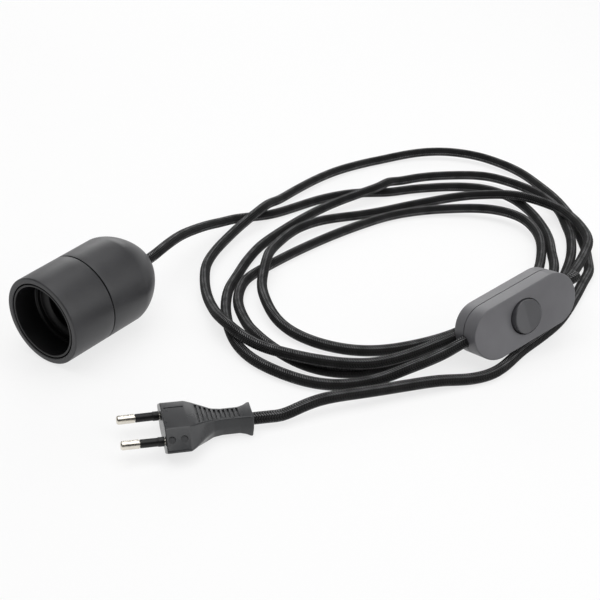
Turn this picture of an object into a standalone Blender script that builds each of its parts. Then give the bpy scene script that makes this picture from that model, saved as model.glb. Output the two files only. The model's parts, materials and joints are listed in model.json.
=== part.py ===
"""Table lamp cord set: an E27 lamp holder, an inline rocker switch, a flat
two-pin mains plug and the two fabric cords that join them.

The holder lies on its side with its mouth towards -Y. The origin is on the
surface below the middle of the holder. Units are metres, +Z is up.
"""

import math

import bmesh
import bpy
import numpy as np
from mathutils import Matrix, Vector

# Clearances
FIT = 0.0003
ROUND_SEGMENTS = 48
SMALL_SEGMENTS = 16

# Cord
CORD_DIAMETER = 0.0056
CORD_STATIONS = 88
CORD_BEND_WEIGHT = 0.035
CORD_HOLE_CLEARANCE = 0.0003
CORE_DIAMETER = 0.0020
CORE_SPACING = 0.0026

# Holder shells
MOUTH_DIAMETER = 0.0456
SHOULDER_FLARE = 0.0012
HOLDER_LENGTH = 0.0726
SHOULDER_HEIGHT = 0.0482
DOME_POWER = 1.55
SEAM_HEIGHT = 0.0257
SEAM_CHAMFER = 0.0004
RIM_CHAMFER = 0.0007
SKIRT_WALL = 0.0029
SPIGOT_LENGTH = 0.0080
SPIGOT_WALL = 0.0015
CAP_WALL = 0.0024
COLLAR_RADIUS = 0.0062
COLLAR_FOOT_HEIGHT = 0.0600

# Inner sleeve with the lamp thread
LIP_WALL = 0.0011
LIP_GROOVE = 0.0006
LIP_RECESS = 0.0003
BORE_DEPTH = 0.0132
STEP_WIDTH = 0.0012
STEP_DEPTH = 0.0022
THREAD_START = 0.0170
THREAD_LENGTH = 0.0160
THREAD_MINOR_DIAMETER = 0.0245
THREAD_MAJOR_DIAMETER = 0.0267
THREAD_PITCH = 0.00362
THREAD_RINGS_PER_PITCH = 6
THREAD_SEGMENTS = 32
THREAD_TUBE_WALL = 0.0018
SLEEVE_FLANGE_THICKNESS = 0.0020

# Holder inside
BLOCK_THICKNESS = 0.0080
CONTACT_THICKNESS = 0.0006
CONTACT_WIDTH = 0.0070
CENTRE_CONTACT_RISE = 0.0050
SIDE_CONTACT_RISE = 0.0048
CLAMP_SIZE = 0.0062
CLAMP_HEIGHT = 0.0072
CLAMP_SPACING = 0.0180
TERMINAL_SCREW_DIAMETER = 0.0032
TERMINAL_SCREW_LENGTH = 0.0040
SCREW_HEAD_HEIGHT = 0.0012
SCREW_SLOT = 0.0006
GRIP_SCREW_DIAMETER = 0.0030

# Switch
SWITCH_LENGTH = 0.0626
SWITCH_WIDTH = 0.0266
SWITCH_THICKNESS = 0.0163
SWITCH_SEAM_BELOW_MIDDLE = 0.0008
SWITCH_WALL = 0.0018
SWITCH_FACE_ROUND = 0.0011
SWITCH_SEAM_CHAMFER = 0.0003
SWITCH_SEGMENTS = 20
SWITCH_CENTRE = (0.1799, 0.1044, 0.0216)
SWITCH_HEADING = math.radians(64.0)
SWITCH_LEAN = math.radians(-15.8)
SWITCH_ROLL = math.radians(-12.0)
BUTTON_DIAMETER = 0.0171
BUTTON_HOLE_DIAMETER = 0.0181
BUTTON_AXLE_DEPTH = 0.0022
BUTTON_BODY_BELOW_AXLE = 0.0024
BUTTON_SLOPE = math.radians(7.0)
BUTTON_EDGE_ROUND = 0.0004
FOOT_WIDTH = 0.0050
FOOT_BREADTH = 0.0060
FOOT_LENGTH = 0.0054
AXLE_DIAMETER = 0.0018
BRIDGE_LENGTH = 0.0160
BRIDGE_WIDTH = 0.0040
BRIDGE_THICKNESS = 0.0005
STUD_DIAMETER = 0.0030
FIXED_CONTACT_WIDTH = 0.0040
SWITCH_TERMINAL_X = 0.0125
SWITCH_TERMINAL_SIZE = 0.0050
SWITCH_LINE_Y = 0.0012
CORE_ENTRY_SHARE = 0.45
CORE_POINTS = 10
SWITCH_NEUTRAL_Y = -0.0074
SWITCH_GRIP_X = 0.0245
SWITCH_GRIP_LENGTH = 0.0050
SWITCH_GRIP_WIDTH = 0.0140
SWITCH_GRIP_HEIGHT = 0.0022
HOUSING_SCREW_DIAMETER = 0.0028
HOUSING_SCREW_LENGTH = 0.0070
HOUSING_SCREW_HEAD_DIAMETER = 0.0044
HOUSING_SCREW_Y = 0.0088
HOUSING_SCREW_X = 0.0150
HOUSING_BOSS_DIAMETER = 0.0060
BOSS_SETBACK = 0.0004

# Plug: stations along the body from the front face to the tail, each with
# the half widths of the flats, the half width at the waist and half the height
PLUG_STATIONS = (
    (0.0000, 0.0095, 0.0175, 0.0067),
    (0.0112, 0.0095, 0.0175, 0.0067),
    (0.0140, 0.0090, 0.0152, 0.0065),
    (0.0180, 0.0066, 0.0096, 0.0056),
    (0.0220, 0.0046, 0.0059, 0.0047),
    (0.0260, 0.0041, 0.0049, 0.0044),
    (0.0360, 0.0041, 0.0048, 0.0044),
    (0.0380, 0.0052, 0.0062, 0.0050),
    (0.0395, 0.0057, 0.0068, 0.0052),
    (0.0415, 0.0050, 0.0060, 0.0047),
)
PLUG_SIDE_FLAT = 0.0010
PLUG_EDGE_ROUND = 0.0006
PLUG_FRONT = (0.0865, -0.0498)
PLUG_HEADING = math.radians(229.1)
PLUG_PITCH = math.radians(3.0)
PLUG_CORD_SOCKET = 0.0040
PIN_DIAMETER = 0.0040
PIN_LENGTH = 0.0190
PIN_METAL_LENGTH = 0.0094
PIN_SPACING = 0.0186
PIN_TOE = math.radians(0.8)
PIN_CORE_DIAMETER = 0.0026
PIN_TIP_ROUND = 0.0011
PIN_ROOT_LENGTH = 0.0070
SLEEVE_DIAMETER = 0.0038
SLEEVE_COLLAR_DIAMETER = 0.0042
SLEEVE_COLLAR_LENGTH = 0.0030
GRIP_SLOTS = 10
GRIP_SLOT_START = 0.0152
GRIP_SLOT_PITCH = 0.00205
GRIP_SLOT_WIDTH = 0.0010
GRIP_SLOT_DEPTH = 0.0007
GRIP_SLOT_MARGIN = 0.0007
TOP_LINE_Y = 0.0053
TOP_LINE_START = 0.0018
TOP_LINE_LENGTH = 0.0084
TOP_LINE_WIDTH = 0.0006
TOP_LINE_DEPTH = 0.0003
SIDE_MARK_DIAMETER = 0.0032
SIDE_MARK_DEPTH = 0.0004
SIDE_MARK_STATIONS = (0.0046, 0.0100)

# Cord routes in millimetres: from the holder to the switch's raised end, and
# from the switch's low end to the plug. The ends themselves come from the
# pieces that the cords enter.
HOLDER_CORD_ROUTE = (
    (-1.7, 51.1, 23.3), (-4.2, 62.2, 22.5), (-6.7, 73.3, 20.9), (-8.8, 84.3, 18.4),
    (-10.6, 95.4, 15.5), (-12.1, 106.3, 12.3), (-12.9, 117.3, 9.1), (-12.6, 128.3, 6.5),
    (-9.1, 139.7, 4.2), (-3.3, 151, 2.9), (1.6, 162.2, 2.9), (5.8, 173.2, 3.2),
    (10.4, 183.8, 3.6), (16.2, 194.1, 3.8), (23.3, 203.7, 3.8), (31.6, 212.4, 3.2),
    (40.4, 220.6, 2.9), (48.7, 229.1, 3.5), (57.6, 236.7, 4.1), (67.3, 243.3, 4.9),
    (77.8, 248.4, 5.8), (89.1, 251.9, 6.3), (100.6, 252.9, 6), (111.4, 250.9, 5.3),
    (121.2, 246.4, 4.5), (130, 240, 3.9), (138.1, 232.3, 3.5), (145.6, 223.6, 3.2), (152, 214, 3),
    (157.6, 203.6, 2.9), (163.5, 193.2, 2.9), (167.9, 182.3, 2.9), (170.9, 170.6, 2.9),
    (172.8, 158.7, 2.9), (172.9, 146.5, 3), (171.7, 134.3, 3.2), (169.7, 122.2, 3.4),
    (166.6, 110.3, 3.6), (162.3, 98.7, 4), (156.9, 87.4, 4.6), (151.4, 76.5, 5),
    (146.5, 65.8, 4.8), (141.6, 55.5, 4.1), (135.4, 46, 3.2), (127, 37.9, 2.9),
    (116.3, 32.8, 2.9), (104.7, 30.8, 3.2), (92.5, 31, 4.3), (80.2, 32.8, 6.1), (70.5, 37.3, 5.5),
    (62.2, 43.3, 3.2), (53.2, 50, 2.9), (44.8, 57.7, 3.2), (38.4, 67.1, 3.6), (34.2, 77.9, 3.7),
    (33.4, 90.1, 3.3), (34.3, 102.4, 3), (35.9, 114.5, 3), (37.8, 126.5, 2.9), (40.2, 138.3, 2.9),
    (43, 150, 2.9), (46.2, 161.5, 2.9), (49.9, 172.9, 2.9), (54.3, 183.8, 3.1),
    (59.9, 194.2, 3.3), (67, 203.6, 3.5), (75.4, 211.8, 3.9), (84.9, 218.7, 4.5),
    (95.2, 224.2, 5.5), (106.5, 227.9, 6.5), (118.2, 229.2, 6.8), (129.2, 227.1, 6.4),
    (138.2, 221.5, 5.5), (145.3, 213.6, 4.9), (150.8, 204.2, 4.3), (155.2, 194, 3.8),
    (158.9, 183.3, 3.5), (161.4, 172, 3.3), (162.5, 160.3, 3.2), (162.4, 148.3, 3.2),
    (161.3, 136.2, 3.3), (159.5, 124.2, 3.4), (157.1, 112.3, 3.5), (154, 100.8, 3.4),
    (149.6, 89.7, 3.4), (143.7, 79.3, 3.4), (136.5, 69.7, 3.2), (128, 61.5, 2.9),
    (117.9, 55.1, 2.9), (106.7, 51.2, 3.1), (95.1, 49.7, 3.4), (83.7, 50.7, 3.8), (73, 54.4, 4.4),
    (63.6, 60.3, 4.9), (54.9, 67.5, 5.3), (47.1, 75.6, 5.9), (40.9, 85.5, 8.2),
    (35.5, 96.1, 10.1), (30.3, 105.7, 7.9), (26.4, 116.1, 6), (24.7, 127.8, 5.9),
    (24.6, 139.7, 5.9), (27.2, 151.6, 5.7), (32, 163.2, 5), (38.2, 174.3, 3.9), (44.8, 185, 3.1),
    (51.2, 195.4, 2.9), (57.5, 205.3, 3.2), (64.2, 214.7, 3.7), (71.4, 223.3, 4.5),
    (79.3, 230.9, 5.7), (88.3, 237.4, 7.1), (98.2, 242.4, 8.5), (108.4, 245.8, 9.9),
    (119.3, 247.5, 10.7), (131, 247.5, 10.6), (141.8, 244.8, 10.8), (151.2, 239.5, 11.1),
    (159.6, 232.4, 11.4), (167.4, 224, 11.6), (173.8, 214.4, 11.5), (177.1, 203, 11.2),
    (179, 191.1, 10.3), (180.4, 179.1, 10.2), (181.9, 167.4, 11.3), (184.3, 157.3, 15.1),
)
PLUG_CORD_ROUTE = (
    (158.5, 57.5, 11.3), (152.8, 48.6, 9.6), (146.8, 40.4, 7.4), (139.2, 32.8, 5.2),
    (129.7, 26.4, 3.6), (118.7, 21.8, 2.9), (106.9, 19.4, 2.9), (94.9, 19, 3), (83, 20.6, 2.9),
    (71.8, 24.7, 2.9), (61.7, 31.1, 3), (52.7, 39, 3), (44.4, 47.8, 2.9), (37.1, 57.4, 2.9),
    (31.1, 67.8, 2.9), (26.9, 79, 2.9), (22.9, 90.1, 3.1), (19.6, 101.2, 3.3), (17.3, 112.5, 3.6),
    (16.5, 124.1, 3.8), (16.7, 135.6, 4.1), (17.4, 147, 4.5), (18.6, 158.2, 4.9),
    (20.4, 169.3, 5.3), (23.1, 180.1, 5.9), (27, 190.7, 6.7), (32.6, 201.5, 8.2),
    (37.4, 212.4, 9.4), (37.6, 222.2, 8.4), (39.8, 232, 6.1), (45.6, 242.1, 5.7),
    (53.3, 251.3, 5.7), (62.2, 259.2, 5.7), (72.1, 265.7, 6), (82.9, 270.2, 6.2),
    (94.2, 272.1, 5.7), (105.7, 271.6, 5.2), (117, 268.9, 5), (127.5, 263.7, 4.9),
    (137, 256.5, 4.9), (144.8, 247.4, 4.9), (151.6, 237.1, 5.2), (158.5, 226.5, 5.5),
    (164.5, 214.9, 5), (169.2, 202.6, 4.1), (172.5, 189.7, 3.3), (175.2, 177.3, 2.9),
    (177.7, 167, 3.7), (178.9, 157, 5.3), (179, 146.9, 7.3), (178.2, 136.7, 9.5),
    (176.3, 126.3, 11.2), (172.6, 115.5, 11.8), (168.6, 104.6, 11.6), (164.2, 93.8, 11.3),
    (159.2, 83.1, 10.9), (154.2, 72.6, 10.5), (149.2, 62.3, 9.8), (143.6, 52.7, 9.2),
    (136.4, 43.9, 8.7), (127.1, 36.8, 8.8), (116.6, 31.3, 9.3), (105.8, 27.7, 9.5),
    (95.7, 26.4, 8.9), (85.7, 26.5, 7.8), (73.4, 27.1, 8.3), (61.3, 29.9, 9.5), (50.7, 34.9, 8.5),
    (41.7, 41.4, 6.1), (32.5, 48.5, 5.1), (23.8, 56.4, 5.2), (16.1, 65.1, 5.4), (9.3, 74.4, 5.6),
    (4.4, 84.8, 5.8), (1, 95.9, 6), (-1.6, 107.2, 6.1), (-3.5, 118.5, 6.6), (-3.7, 130.7, 8.4),
    (-3.6, 143.3, 10.1), (-6, 154.4, 8.4), (-8, 165.8, 5.5), (-8.6, 178.4, 4.6), (-8.5, 191, 4.3),
    (-8, 203.4, 4), (-6.7, 215.8, 3.7), (-4.2, 227.9, 3.5), (-0.5, 239.6, 3.2), (4.4, 250.8, 3.1),
    (10, 261.2, 3.1), (16.3, 270.9, 3.6), (23.6, 279.5, 4.4), (32.4, 286.9, 5.1),
    (42.6, 292.7, 5.5), (53.6, 296.7, 5.4), (65, 298.7, 5), (76.4, 298.5, 4.4), (87.5, 296.4, 4),
    (98.2, 292.5, 3.6), (108.2, 287, 3.2), (117.9, 280.6, 3), (127.4, 273.5, 3),
    (136.4, 265.6, 2.9), (144.7, 257.1, 2.9), (152.4, 247.9, 2.9), (159.2, 238.1, 2.9),
    (165.9, 228.1, 2.9), (172.3, 217.9, 2.9), (177.7, 207.3, 2.9), (182.7, 196.4, 3),
    (184.8, 184.6, 3.1), (186.6, 172.8, 3.1), (188.3, 160.9, 3.1), (189.7, 148.9, 3),
    (190.3, 136.9, 3), (189.6, 124.8, 3.2), (188.1, 112.7, 3.4), (186.3, 100.5, 3.3),
    (185.4, 87.9, 3), (182.9, 76, 2.9), (175.8, 65.4, 3), (167.6, 55.6, 4.6), (159.8, 45.8, 5.3),
    (152.4, 35.9, 5.8), (145, 26.2, 6.3), (137.6, 16.8, 6.8), (130.8, 7.5, 6.8),
    (125.6, -1.8, 5.7),
)
MILLIMETRE = 0.001
STRAIGHT_LEAD = 0.0100
HOLDER_LEAD = 0.0030
HIGH_END_LEAD = 0.0060
LEAD_POINTS = 4


# Basic tools

def clear_scene():
    for item in list(bpy.data.objects):
        bpy.data.objects.remove(item, do_unlink=True)


def material(name, colour, roughness, metallic=0.0):
    made = bpy.data.materials.get(name)
    if made is None:
        made = bpy.data.materials.new(name)
        made.use_nodes = True
        shader = made.node_tree.nodes["Principled BSDF"]
        shader.inputs["Base Color"].default_value = (*colour, 1.0)
        shader.inputs["Roughness"].default_value = roughness
        shader.inputs["Metallic"].default_value = metallic
    return made


def charcoal_shell():
    return material("charcoal_shell", (0.045, 0.045, 0.048), 0.42)


def black_inside():
    return material("black_inside", (0.012, 0.012, 0.013), 0.55)


def grey_switch():
    return material("grey_switch", (0.16, 0.16, 0.17), 0.45)


def plug_plastic():
    return material("plug_plastic", (0.05, 0.05, 0.053), 0.35)


def brass():
    return material("brass", (0.78, 0.60, 0.28), 0.3, 1.0)


def nickel():
    return material("nickel", (0.72, 0.68, 0.60), 0.25, 1.0)


def steel():
    return material("steel", (0.60, 0.60, 0.61), 0.3, 1.0)


def braid():
    return material("braid", (0.035, 0.035, 0.037), 0.8)


def brown_core():
    return material("brown_core", (0.16, 0.06, 0.02), 0.5)


def blue_core():
    return material("blue_core", (0.02, 0.08, 0.35), 0.5)


def frame(name, matrix, parent=None):
    """An empty that carries the pieces of one sub-assembly."""
    made = bpy.data.objects.new(name, None)
    bpy.context.collection.objects.link(made)
    made.parent = parent
    made.matrix_local = matrix
    return made


def add_object(name, mesh, finish, parent, place=None, smooth=True):
    made = bpy.data.objects.new(name, mesh)
    bpy.context.collection.objects.link(made)
    made.parent = parent
    made.matrix_local = place or Matrix.Identity(4)
    mesh.materials.append(finish)
    if smooth:
        mesh.shade_smooth()
        mesh.set_sharp_from_angle(angle=math.radians(35))
    return made


def finish_mesh(name, bm):
    bmesh.ops.remove_doubles(bm, verts=bm.verts, dist=1e-7)
    bmesh.ops.recalc_face_normals(bm, faces=bm.faces)
    mesh = bpy.data.meshes.new(name)
    bm.to_mesh(mesh)
    bm.free()
    return mesh


def cut(target, cutter, operation="DIFFERENCE"):
    """Cuts the cutter from the target, or joins it, and hides it as a helper."""
    cutter.hide_render = True
    cutter.display_type = "WIRE"
    modifier = target.modifiers.new(cutter.name, "BOOLEAN")
    modifier.operation = operation
    modifier.solver = "EXACT"
    modifier.object = cutter


def round_edges(target, width, segments=2, angle=30):
    modifier = target.modifiers.new("rounded edges", "BEVEL")
    modifier.width = width
    modifier.segments = segments
    modifier.limit_method = "ANGLE"
    modifier.angle_limit = math.radians(angle)
    modifier.use_clamp_overlap = True


def turned_mesh(name, profile, segments=ROUND_SEGMENTS):
    """Spins a closed profile of (radius, height) round Z."""
    bm = bmesh.new()
    verts = [bm.verts.new((radius, 0, height)) for radius, height in profile]
    edges = [bm.edges.new((a, b)) for a, b in zip(verts, verts[1:])]
    if profile[0][0] > 0:
        edges.append(bm.edges.new((verts[-1], verts[0])))
    bmesh.ops.spin(
        bm, geom=verts + edges, angle=2 * math.pi, steps=segments,
        cent=(0, 0, 0), axis=(0, 0, 1), use_merge=True,
    )
    return finish_mesh(name, bm)


def turned(name, profile, finish, parent, place=None, segments=ROUND_SEGMENTS):
    return add_object(name, turned_mesh(name, profile, segments), finish, parent, place)


def rod_profile(radius, low, high, bevel=0.0):
    if bevel:
        return [(0, low), (radius - bevel, low), (radius, low + bevel),
                (radius, high - bevel), (radius - bevel, high), (0, high)]
    return [(0, low), (radius, low), (radius, high), (0, high)]


def rod(name, radius, low, high, finish, parent, place=None, bevel=0.0, segments=SMALL_SEGMENTS):
    return turned(name, rod_profile(radius, low, high, bevel), finish, parent, place, segments)


def block_mesh(name, low, high):
    bm = bmesh.new()
    bmesh.ops.create_cube(bm, size=1.0)
    low, high = Vector(low), Vector(high)
    size = high - low
    bmesh.ops.scale(bm, verts=bm.verts, vec=size)
    bmesh.ops.translate(bm, verts=bm.verts, vec=(low + high) / 2)
    return finish_mesh(name, bm)


def block(name, low, high, finish, parent, place=None):
    return add_object(name, block_mesh(name, low, high), finish, parent, place, smooth=False)


def strip(name, path, thickness, width, finish, parent, place=None):
    """A metal strip: a path of (x, z) points thickened to one side and extruded along Y."""
    bm = bmesh.new()
    points = [Vector((x, 0, z)) for x, z in path]
    across = []
    for index, point in enumerate(points):
        ahead = points[min(index + 1, len(points) - 1)] - points[max(index - 1, 0)]
        side = Vector((-ahead.z, 0, ahead.x)).normalized()
        across.append(point + side * thickness)
    outline = points + across[::-1]
    low = [bm.verts.new(p + Vector((0, -width / 2, 0))) for p in outline]
    face = bm.faces.new(low)
    grown = bmesh.ops.extrude_face_region(bm, geom=[face])
    moved = [item for item in grown["geom"] if isinstance(item, bmesh.types.BMVert)]
    bmesh.ops.translate(bm, verts=moved, vec=(0, width, 0))
    return add_object(name, finish_mesh(name, bm), finish, parent, place, smooth=False)


def smooth_curve(points, per_span=24):
    """Points along the natural cubic spline through the given points."""
    points = np.array(points, float)
    chord = np.linalg.norm(np.diff(points, axis=0), axis=1)
    knots = np.concatenate([[0], np.cumsum(chord)])
    count = len(points)
    matrix = np.eye(count)
    right = np.zeros((count, 3))
    for i in range(1, count - 1):
        before, after = chord[i - 1], chord[i]
        matrix[i, i - 1:i + 2] = before, 2 * (before + after), after
        right[i] = 6 * ((points[i + 1] - points[i]) / after - (points[i] - points[i - 1]) / before)
    second = np.linalg.solve(matrix, right)
    found = []
    for i in range(count - 1):
        span = chord[i]
        for t in np.linspace(0, span, per_span, endpoint=False):
            a, b = (span - t) / span, t / span
            found.append(
                a * points[i] + b * points[i + 1]
                + ((a ** 3 - a) * second[i] + (b ** 3 - b) * second[i + 1]) * span ** 2 / 6
            )
    found.append(points[-1])
    return np.array(found)


def stations_along(curve, count, bend_weight):
    """Picks points along the curve, closer together where it bends more."""
    steps = np.linalg.norm(np.diff(curve, axis=0), axis=1)
    along = np.concatenate([[0], np.cumsum(steps)])
    heading = np.diff(curve, axis=0) / steps[:, None]
    turn = np.linalg.norm(np.diff(heading, axis=0), axis=1) / ((steps[1:] + steps[:-1]) / 2)
    bend = np.concatenate([[turn[0]], turn, [turn[-1]]])
    window = 25
    bend = np.convolve(np.pad(bend, window // 2, mode="edge"), np.ones(window) / window, "valid")
    weight = 1 + bend_weight * bend
    spent = np.concatenate([[0], np.cumsum((weight[1:] + weight[:-1]) / 2 * steps)])
    wanted = np.interp(np.linspace(0, spent[-1], count), spent, along)
    return np.stack([np.interp(wanted, along, curve[:, axis]) for axis in range(3)], axis=1)


def tube(name, points, radius, finish, parent=None, resolution=3):
    """A round solid along a line of points, with flat capped ends."""
    data = bpy.data.curves.new(name, "CURVE")
    data.dimensions = "3D"
    data.bevel_depth = radius
    data.bevel_resolution = resolution
    data.use_fill_caps = True
    data.materials.append(finish)
    line = data.splines.new("POLY")
    line.points.add(len(points) - 1)
    for item, point in zip(line.points, points):
        item.co = (*point, 1.0)
    made = bpy.data.objects.new(name, data)
    bpy.context.collection.objects.link(made)
    made.parent = parent
    return made


# Lamp holder. Its own frame has Z along the axis, from the mouth to the dome.

def shoulder_radius():
    return (MOUTH_DIAMETER + SHOULDER_FLARE) / 2


def outer_radius(height):
    """The holder's outside: a slight taper, then the dome."""
    mouth, shoulder = MOUTH_DIAMETER / 2, shoulder_radius()
    if height <= SHOULDER_HEIGHT:
        return mouth + (shoulder - mouth) * height / SHOULDER_HEIGHT
    share = min((height - SHOULDER_HEIGHT) / (HOLDER_LENGTH - SHOULDER_HEIGHT), 1.0)
    return shoulder * (1 - share ** DOME_POWER) ** (1 / DOME_POWER)


def dome_top():
    """Where the dome ends, at the edge of the cord hole."""
    share = (1 - (cord_hole_radius() / shoulder_radius()) ** DOME_POWER) ** (1 / DOME_POWER)
    return SHOULDER_HEIGHT + share * (HOLDER_LENGTH - SHOULDER_HEIGHT)


def dome_heights(low, high, count):
    share = np.sin(np.linspace(0, math.pi / 2, count))
    return low + (high - low) * share


def cord_hole_radius():
    return CORD_DIAMETER / 2 + CORD_HOLE_CLEARANCE


def skirt_bore_radius():
    return MOUTH_DIAMETER / 2 - SKIRT_WALL


def spigot_top():
    return SEAM_HEIGHT + SPIGOT_LENGTH


def spigot_radius():
    return skirt_bore_radius() + SPIGOT_WALL


def flange_low():
    return spigot_top() + FIT


def flange_high():
    return flange_low() + SLEEVE_FLANGE_THICKNESS


def block_low():
    return flange_high() + FIT


def block_high():
    return block_low() + BLOCK_THICKNESS


def cap_bore_radius():
    """The cap's bore behind the sleeve's flange, which it traps."""
    return shoulder_radius() - CAP_WALL


def block_radius():
    return cap_bore_radius() - FIT


def clamp_low():
    return block_high() + FIT


def holder_skirt(parent):
    bore = skirt_bore_radius()
    seam = SEAM_HEIGHT
    profile = [
        (bore, 0),
        (outer_radius(0) - RIM_CHAMFER, 0),
        (outer_radius(RIM_CHAMFER) - RIM_CHAMFER * 0.3, RIM_CHAMFER * 0.3),
        (outer_radius(RIM_CHAMFER), RIM_CHAMFER),
        (outer_radius(seam), seam - SEAM_CHAMFER),
        (outer_radius(seam) - SEAM_CHAMFER, seam),
        (spigot_radius(), seam),
        (spigot_radius(), spigot_top()),
        (bore, spigot_top()),
    ]
    return turned("holder_skirt", profile, charcoal_shell(), parent)


def holder_cap(parent):
    """The domed shell, with a collar inside its apex that takes the cord."""
    seam = SEAM_HEIGHT + FIT
    socket = spigot_radius() + FIT
    hole = cord_hole_radius()
    wall_top = HOLDER_LENGTH - CAP_WALL
    profile = [(socket, seam)]
    profile += [(outer_radius(seam) - SEAM_CHAMFER, seam), (outer_radius(seam), seam + SEAM_CHAMFER)]
    outside = [(outer_radius(h), h) for h in dome_heights(SHOULDER_HEIGHT, dome_top(), 15)]
    profile += outside + [(hole, COLLAR_FOOT_HEIGHT), (COLLAR_RADIUS, COLLAR_FOOT_HEIGHT)]
    inside = []
    for height in dome_heights(SHOULDER_HEIGHT, wall_top, 12):
        radius = outer_radius(height + CAP_WALL * 0.45) - CAP_WALL * 0.9
        if radius > COLLAR_RADIUS and height > block_high():
            inside.append((min(radius, cap_bore_radius()), height))
    profile += inside[::-1]
    profile += [(cap_bore_radius(), flange_high() + FIT), (socket, flange_high() + FIT)]
    return turned("holder_cap", profile, charcoal_shell(), parent)


def thread_radius(height, angle):
    """The round lamp thread inside the sleeve, which fades out at both ends."""
    low, high = THREAD_START, THREAD_START + THREAD_LENGTH
    mean = (THREAD_MINOR_DIAMETER + THREAD_MAJOR_DIAMETER) / 4
    depth = (THREAD_MAJOR_DIAMETER - THREAD_MINOR_DIAMETER) / 4
    fade = min(1.0, (height - low) / THREAD_PITCH, (high - height) / THREAD_PITCH)
    turns = height / THREAD_PITCH - angle / (2 * math.pi)
    return mean + depth * max(fade, 0.0) * math.cos(2 * math.pi * turns)


def thread_sleeve(parent):
    """The inner sleeve: lip at the mouth, wide bore, step, threaded tube and rear flange."""
    lip = skirt_bore_radius() - LIP_GROOVE
    bore = lip - LIP_WALL
    step_low = BORE_DEPTH
    step_high = BORE_DEPTH + STEP_DEPTH
    tube_outer = THREAD_MAJOR_DIAMETER / 2 + THREAD_TUBE_WALL
    back = THREAD_START + THREAD_LENGTH
    flange_rim = spigot_radius()
    rings = []
    for radius, height in (
        (tube_outer, flange_low()), (tube_outer, step_high + LIP_WALL),
        (lip, step_low + LIP_WALL), (lip, LIP_RECESS + LIP_WALL / 4),
        (lip - LIP_WALL / 4, LIP_RECESS), (bore + LIP_WALL / 4, LIP_RECESS),
        (bore, LIP_RECESS + LIP_WALL / 4), (bore, step_low),
        (bore - STEP_WIDTH, step_low), (bore - STEP_WIDTH, step_high),
        ((bore - STEP_WIDTH + THREAD_MAJOR_DIAMETER / 2) / 2, step_high),
    ):
        rings.append([(radius, height)] * THREAD_SEGMENTS)
    count = int(THREAD_RINGS_PER_PITCH * THREAD_LENGTH / THREAD_PITCH)
    for height in np.linspace(THREAD_START, back, count):
        angles = [2 * math.pi * k / THREAD_SEGMENTS for k in range(THREAD_SEGMENTS)]
        rings.append([(thread_radius(height, angle), height) for angle in angles])
    mean = (THREAD_MINOR_DIAMETER + THREAD_MAJOR_DIAMETER) / 4
    for radius, height in ((mean, flange_high()), (flange_rim, flange_high()), (flange_rim, flange_low())):
        rings.append([(radius, height)] * THREAD_SEGMENTS)
    bm = bmesh.new()
    loops = []
    for ring in rings:
        loop = []
        for index, (radius, height) in enumerate(ring):
            angle = 2 * math.pi * index / THREAD_SEGMENTS
            loop.append(bm.verts.new((radius * math.cos(angle), radius * math.sin(angle), height)))
        loops.append(loop)
    for first, second in zip(loops, loops[1:] + loops[:1]):
        for index in range(THREAD_SEGMENTS):
            after = (index + 1) % THREAD_SEGMENTS
            bm.faces.new((first[index], first[after], second[after], second[index]))
    return add_object("thread_sleeve", finish_mesh("thread_sleeve", bm), black_inside(), parent)


def terminal_block(parent):
    """The insulating disc behind the lamp, with a hole for each core's tail."""
    made = rod("terminal_block", block_radius(), block_low(), block_high(), black_inside(), parent,
               bevel=0.0006, segments=ROUND_SEGMENTS)
    return made


def centre_contact(parent):
    """A sprung strip that presses on the foot of the lamp's cap."""
    base = block_low() - FIT
    top = base - CENTRE_CONTACT_RISE
    path = [(-0.0080, base), (0.0000, base), (0.0020, base - CONTACT_THICKNESS),
            (-0.0030, top + CONTACT_THICKNESS), (-0.0045, top), (-0.0065, top + 0.0012)]
    return strip("centre_contact", path[::-1], CONTACT_THICKNESS, CONTACT_WIDTH, nickel(), parent)


def side_contact(parent):
    """A strip that stands inside the threaded tube and touches the lamp's threaded cap."""
    base = block_low() - FIT
    inner = THREAD_MINOR_DIAMETER / 2 - 0.0012
    path = [(inner - 0.0040, base), (inner, base), (inner + 0.0002, base - SIDE_CONTACT_RISE * 0.6),
            (inner - 0.0008, base - SIDE_CONTACT_RISE)]
    return strip("side_contact", path[::-1], CONTACT_THICKNESS, CONTACT_WIDTH * 0.7, nickel(), parent)


def slotted_screw(name, radius, low, high, finish, parent, place=None, head=None):
    """A screw with its slot in the upper end; head is the head's radius, if it has one."""
    if head:
        neck = high - SCREW_HEAD_HEIGHT
        profile = [(0, low), (radius, low), (radius, neck), (head, neck), (head, high), (0, high)]
    else:
        profile = rod_profile(radius, low, high)
    made = turned(name, profile, finish, parent, place, SMALL_SEGMENTS)
    reach = (head or radius) * 2
    slot = block(name + "_slot_cutter", (-reach, -SCREW_SLOT / 2, high - SCREW_SLOT),
                 (reach, SCREW_SLOT / 2, high + SCREW_SLOT), finish, parent, place)
    cut(made, slot)
    return made


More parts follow.
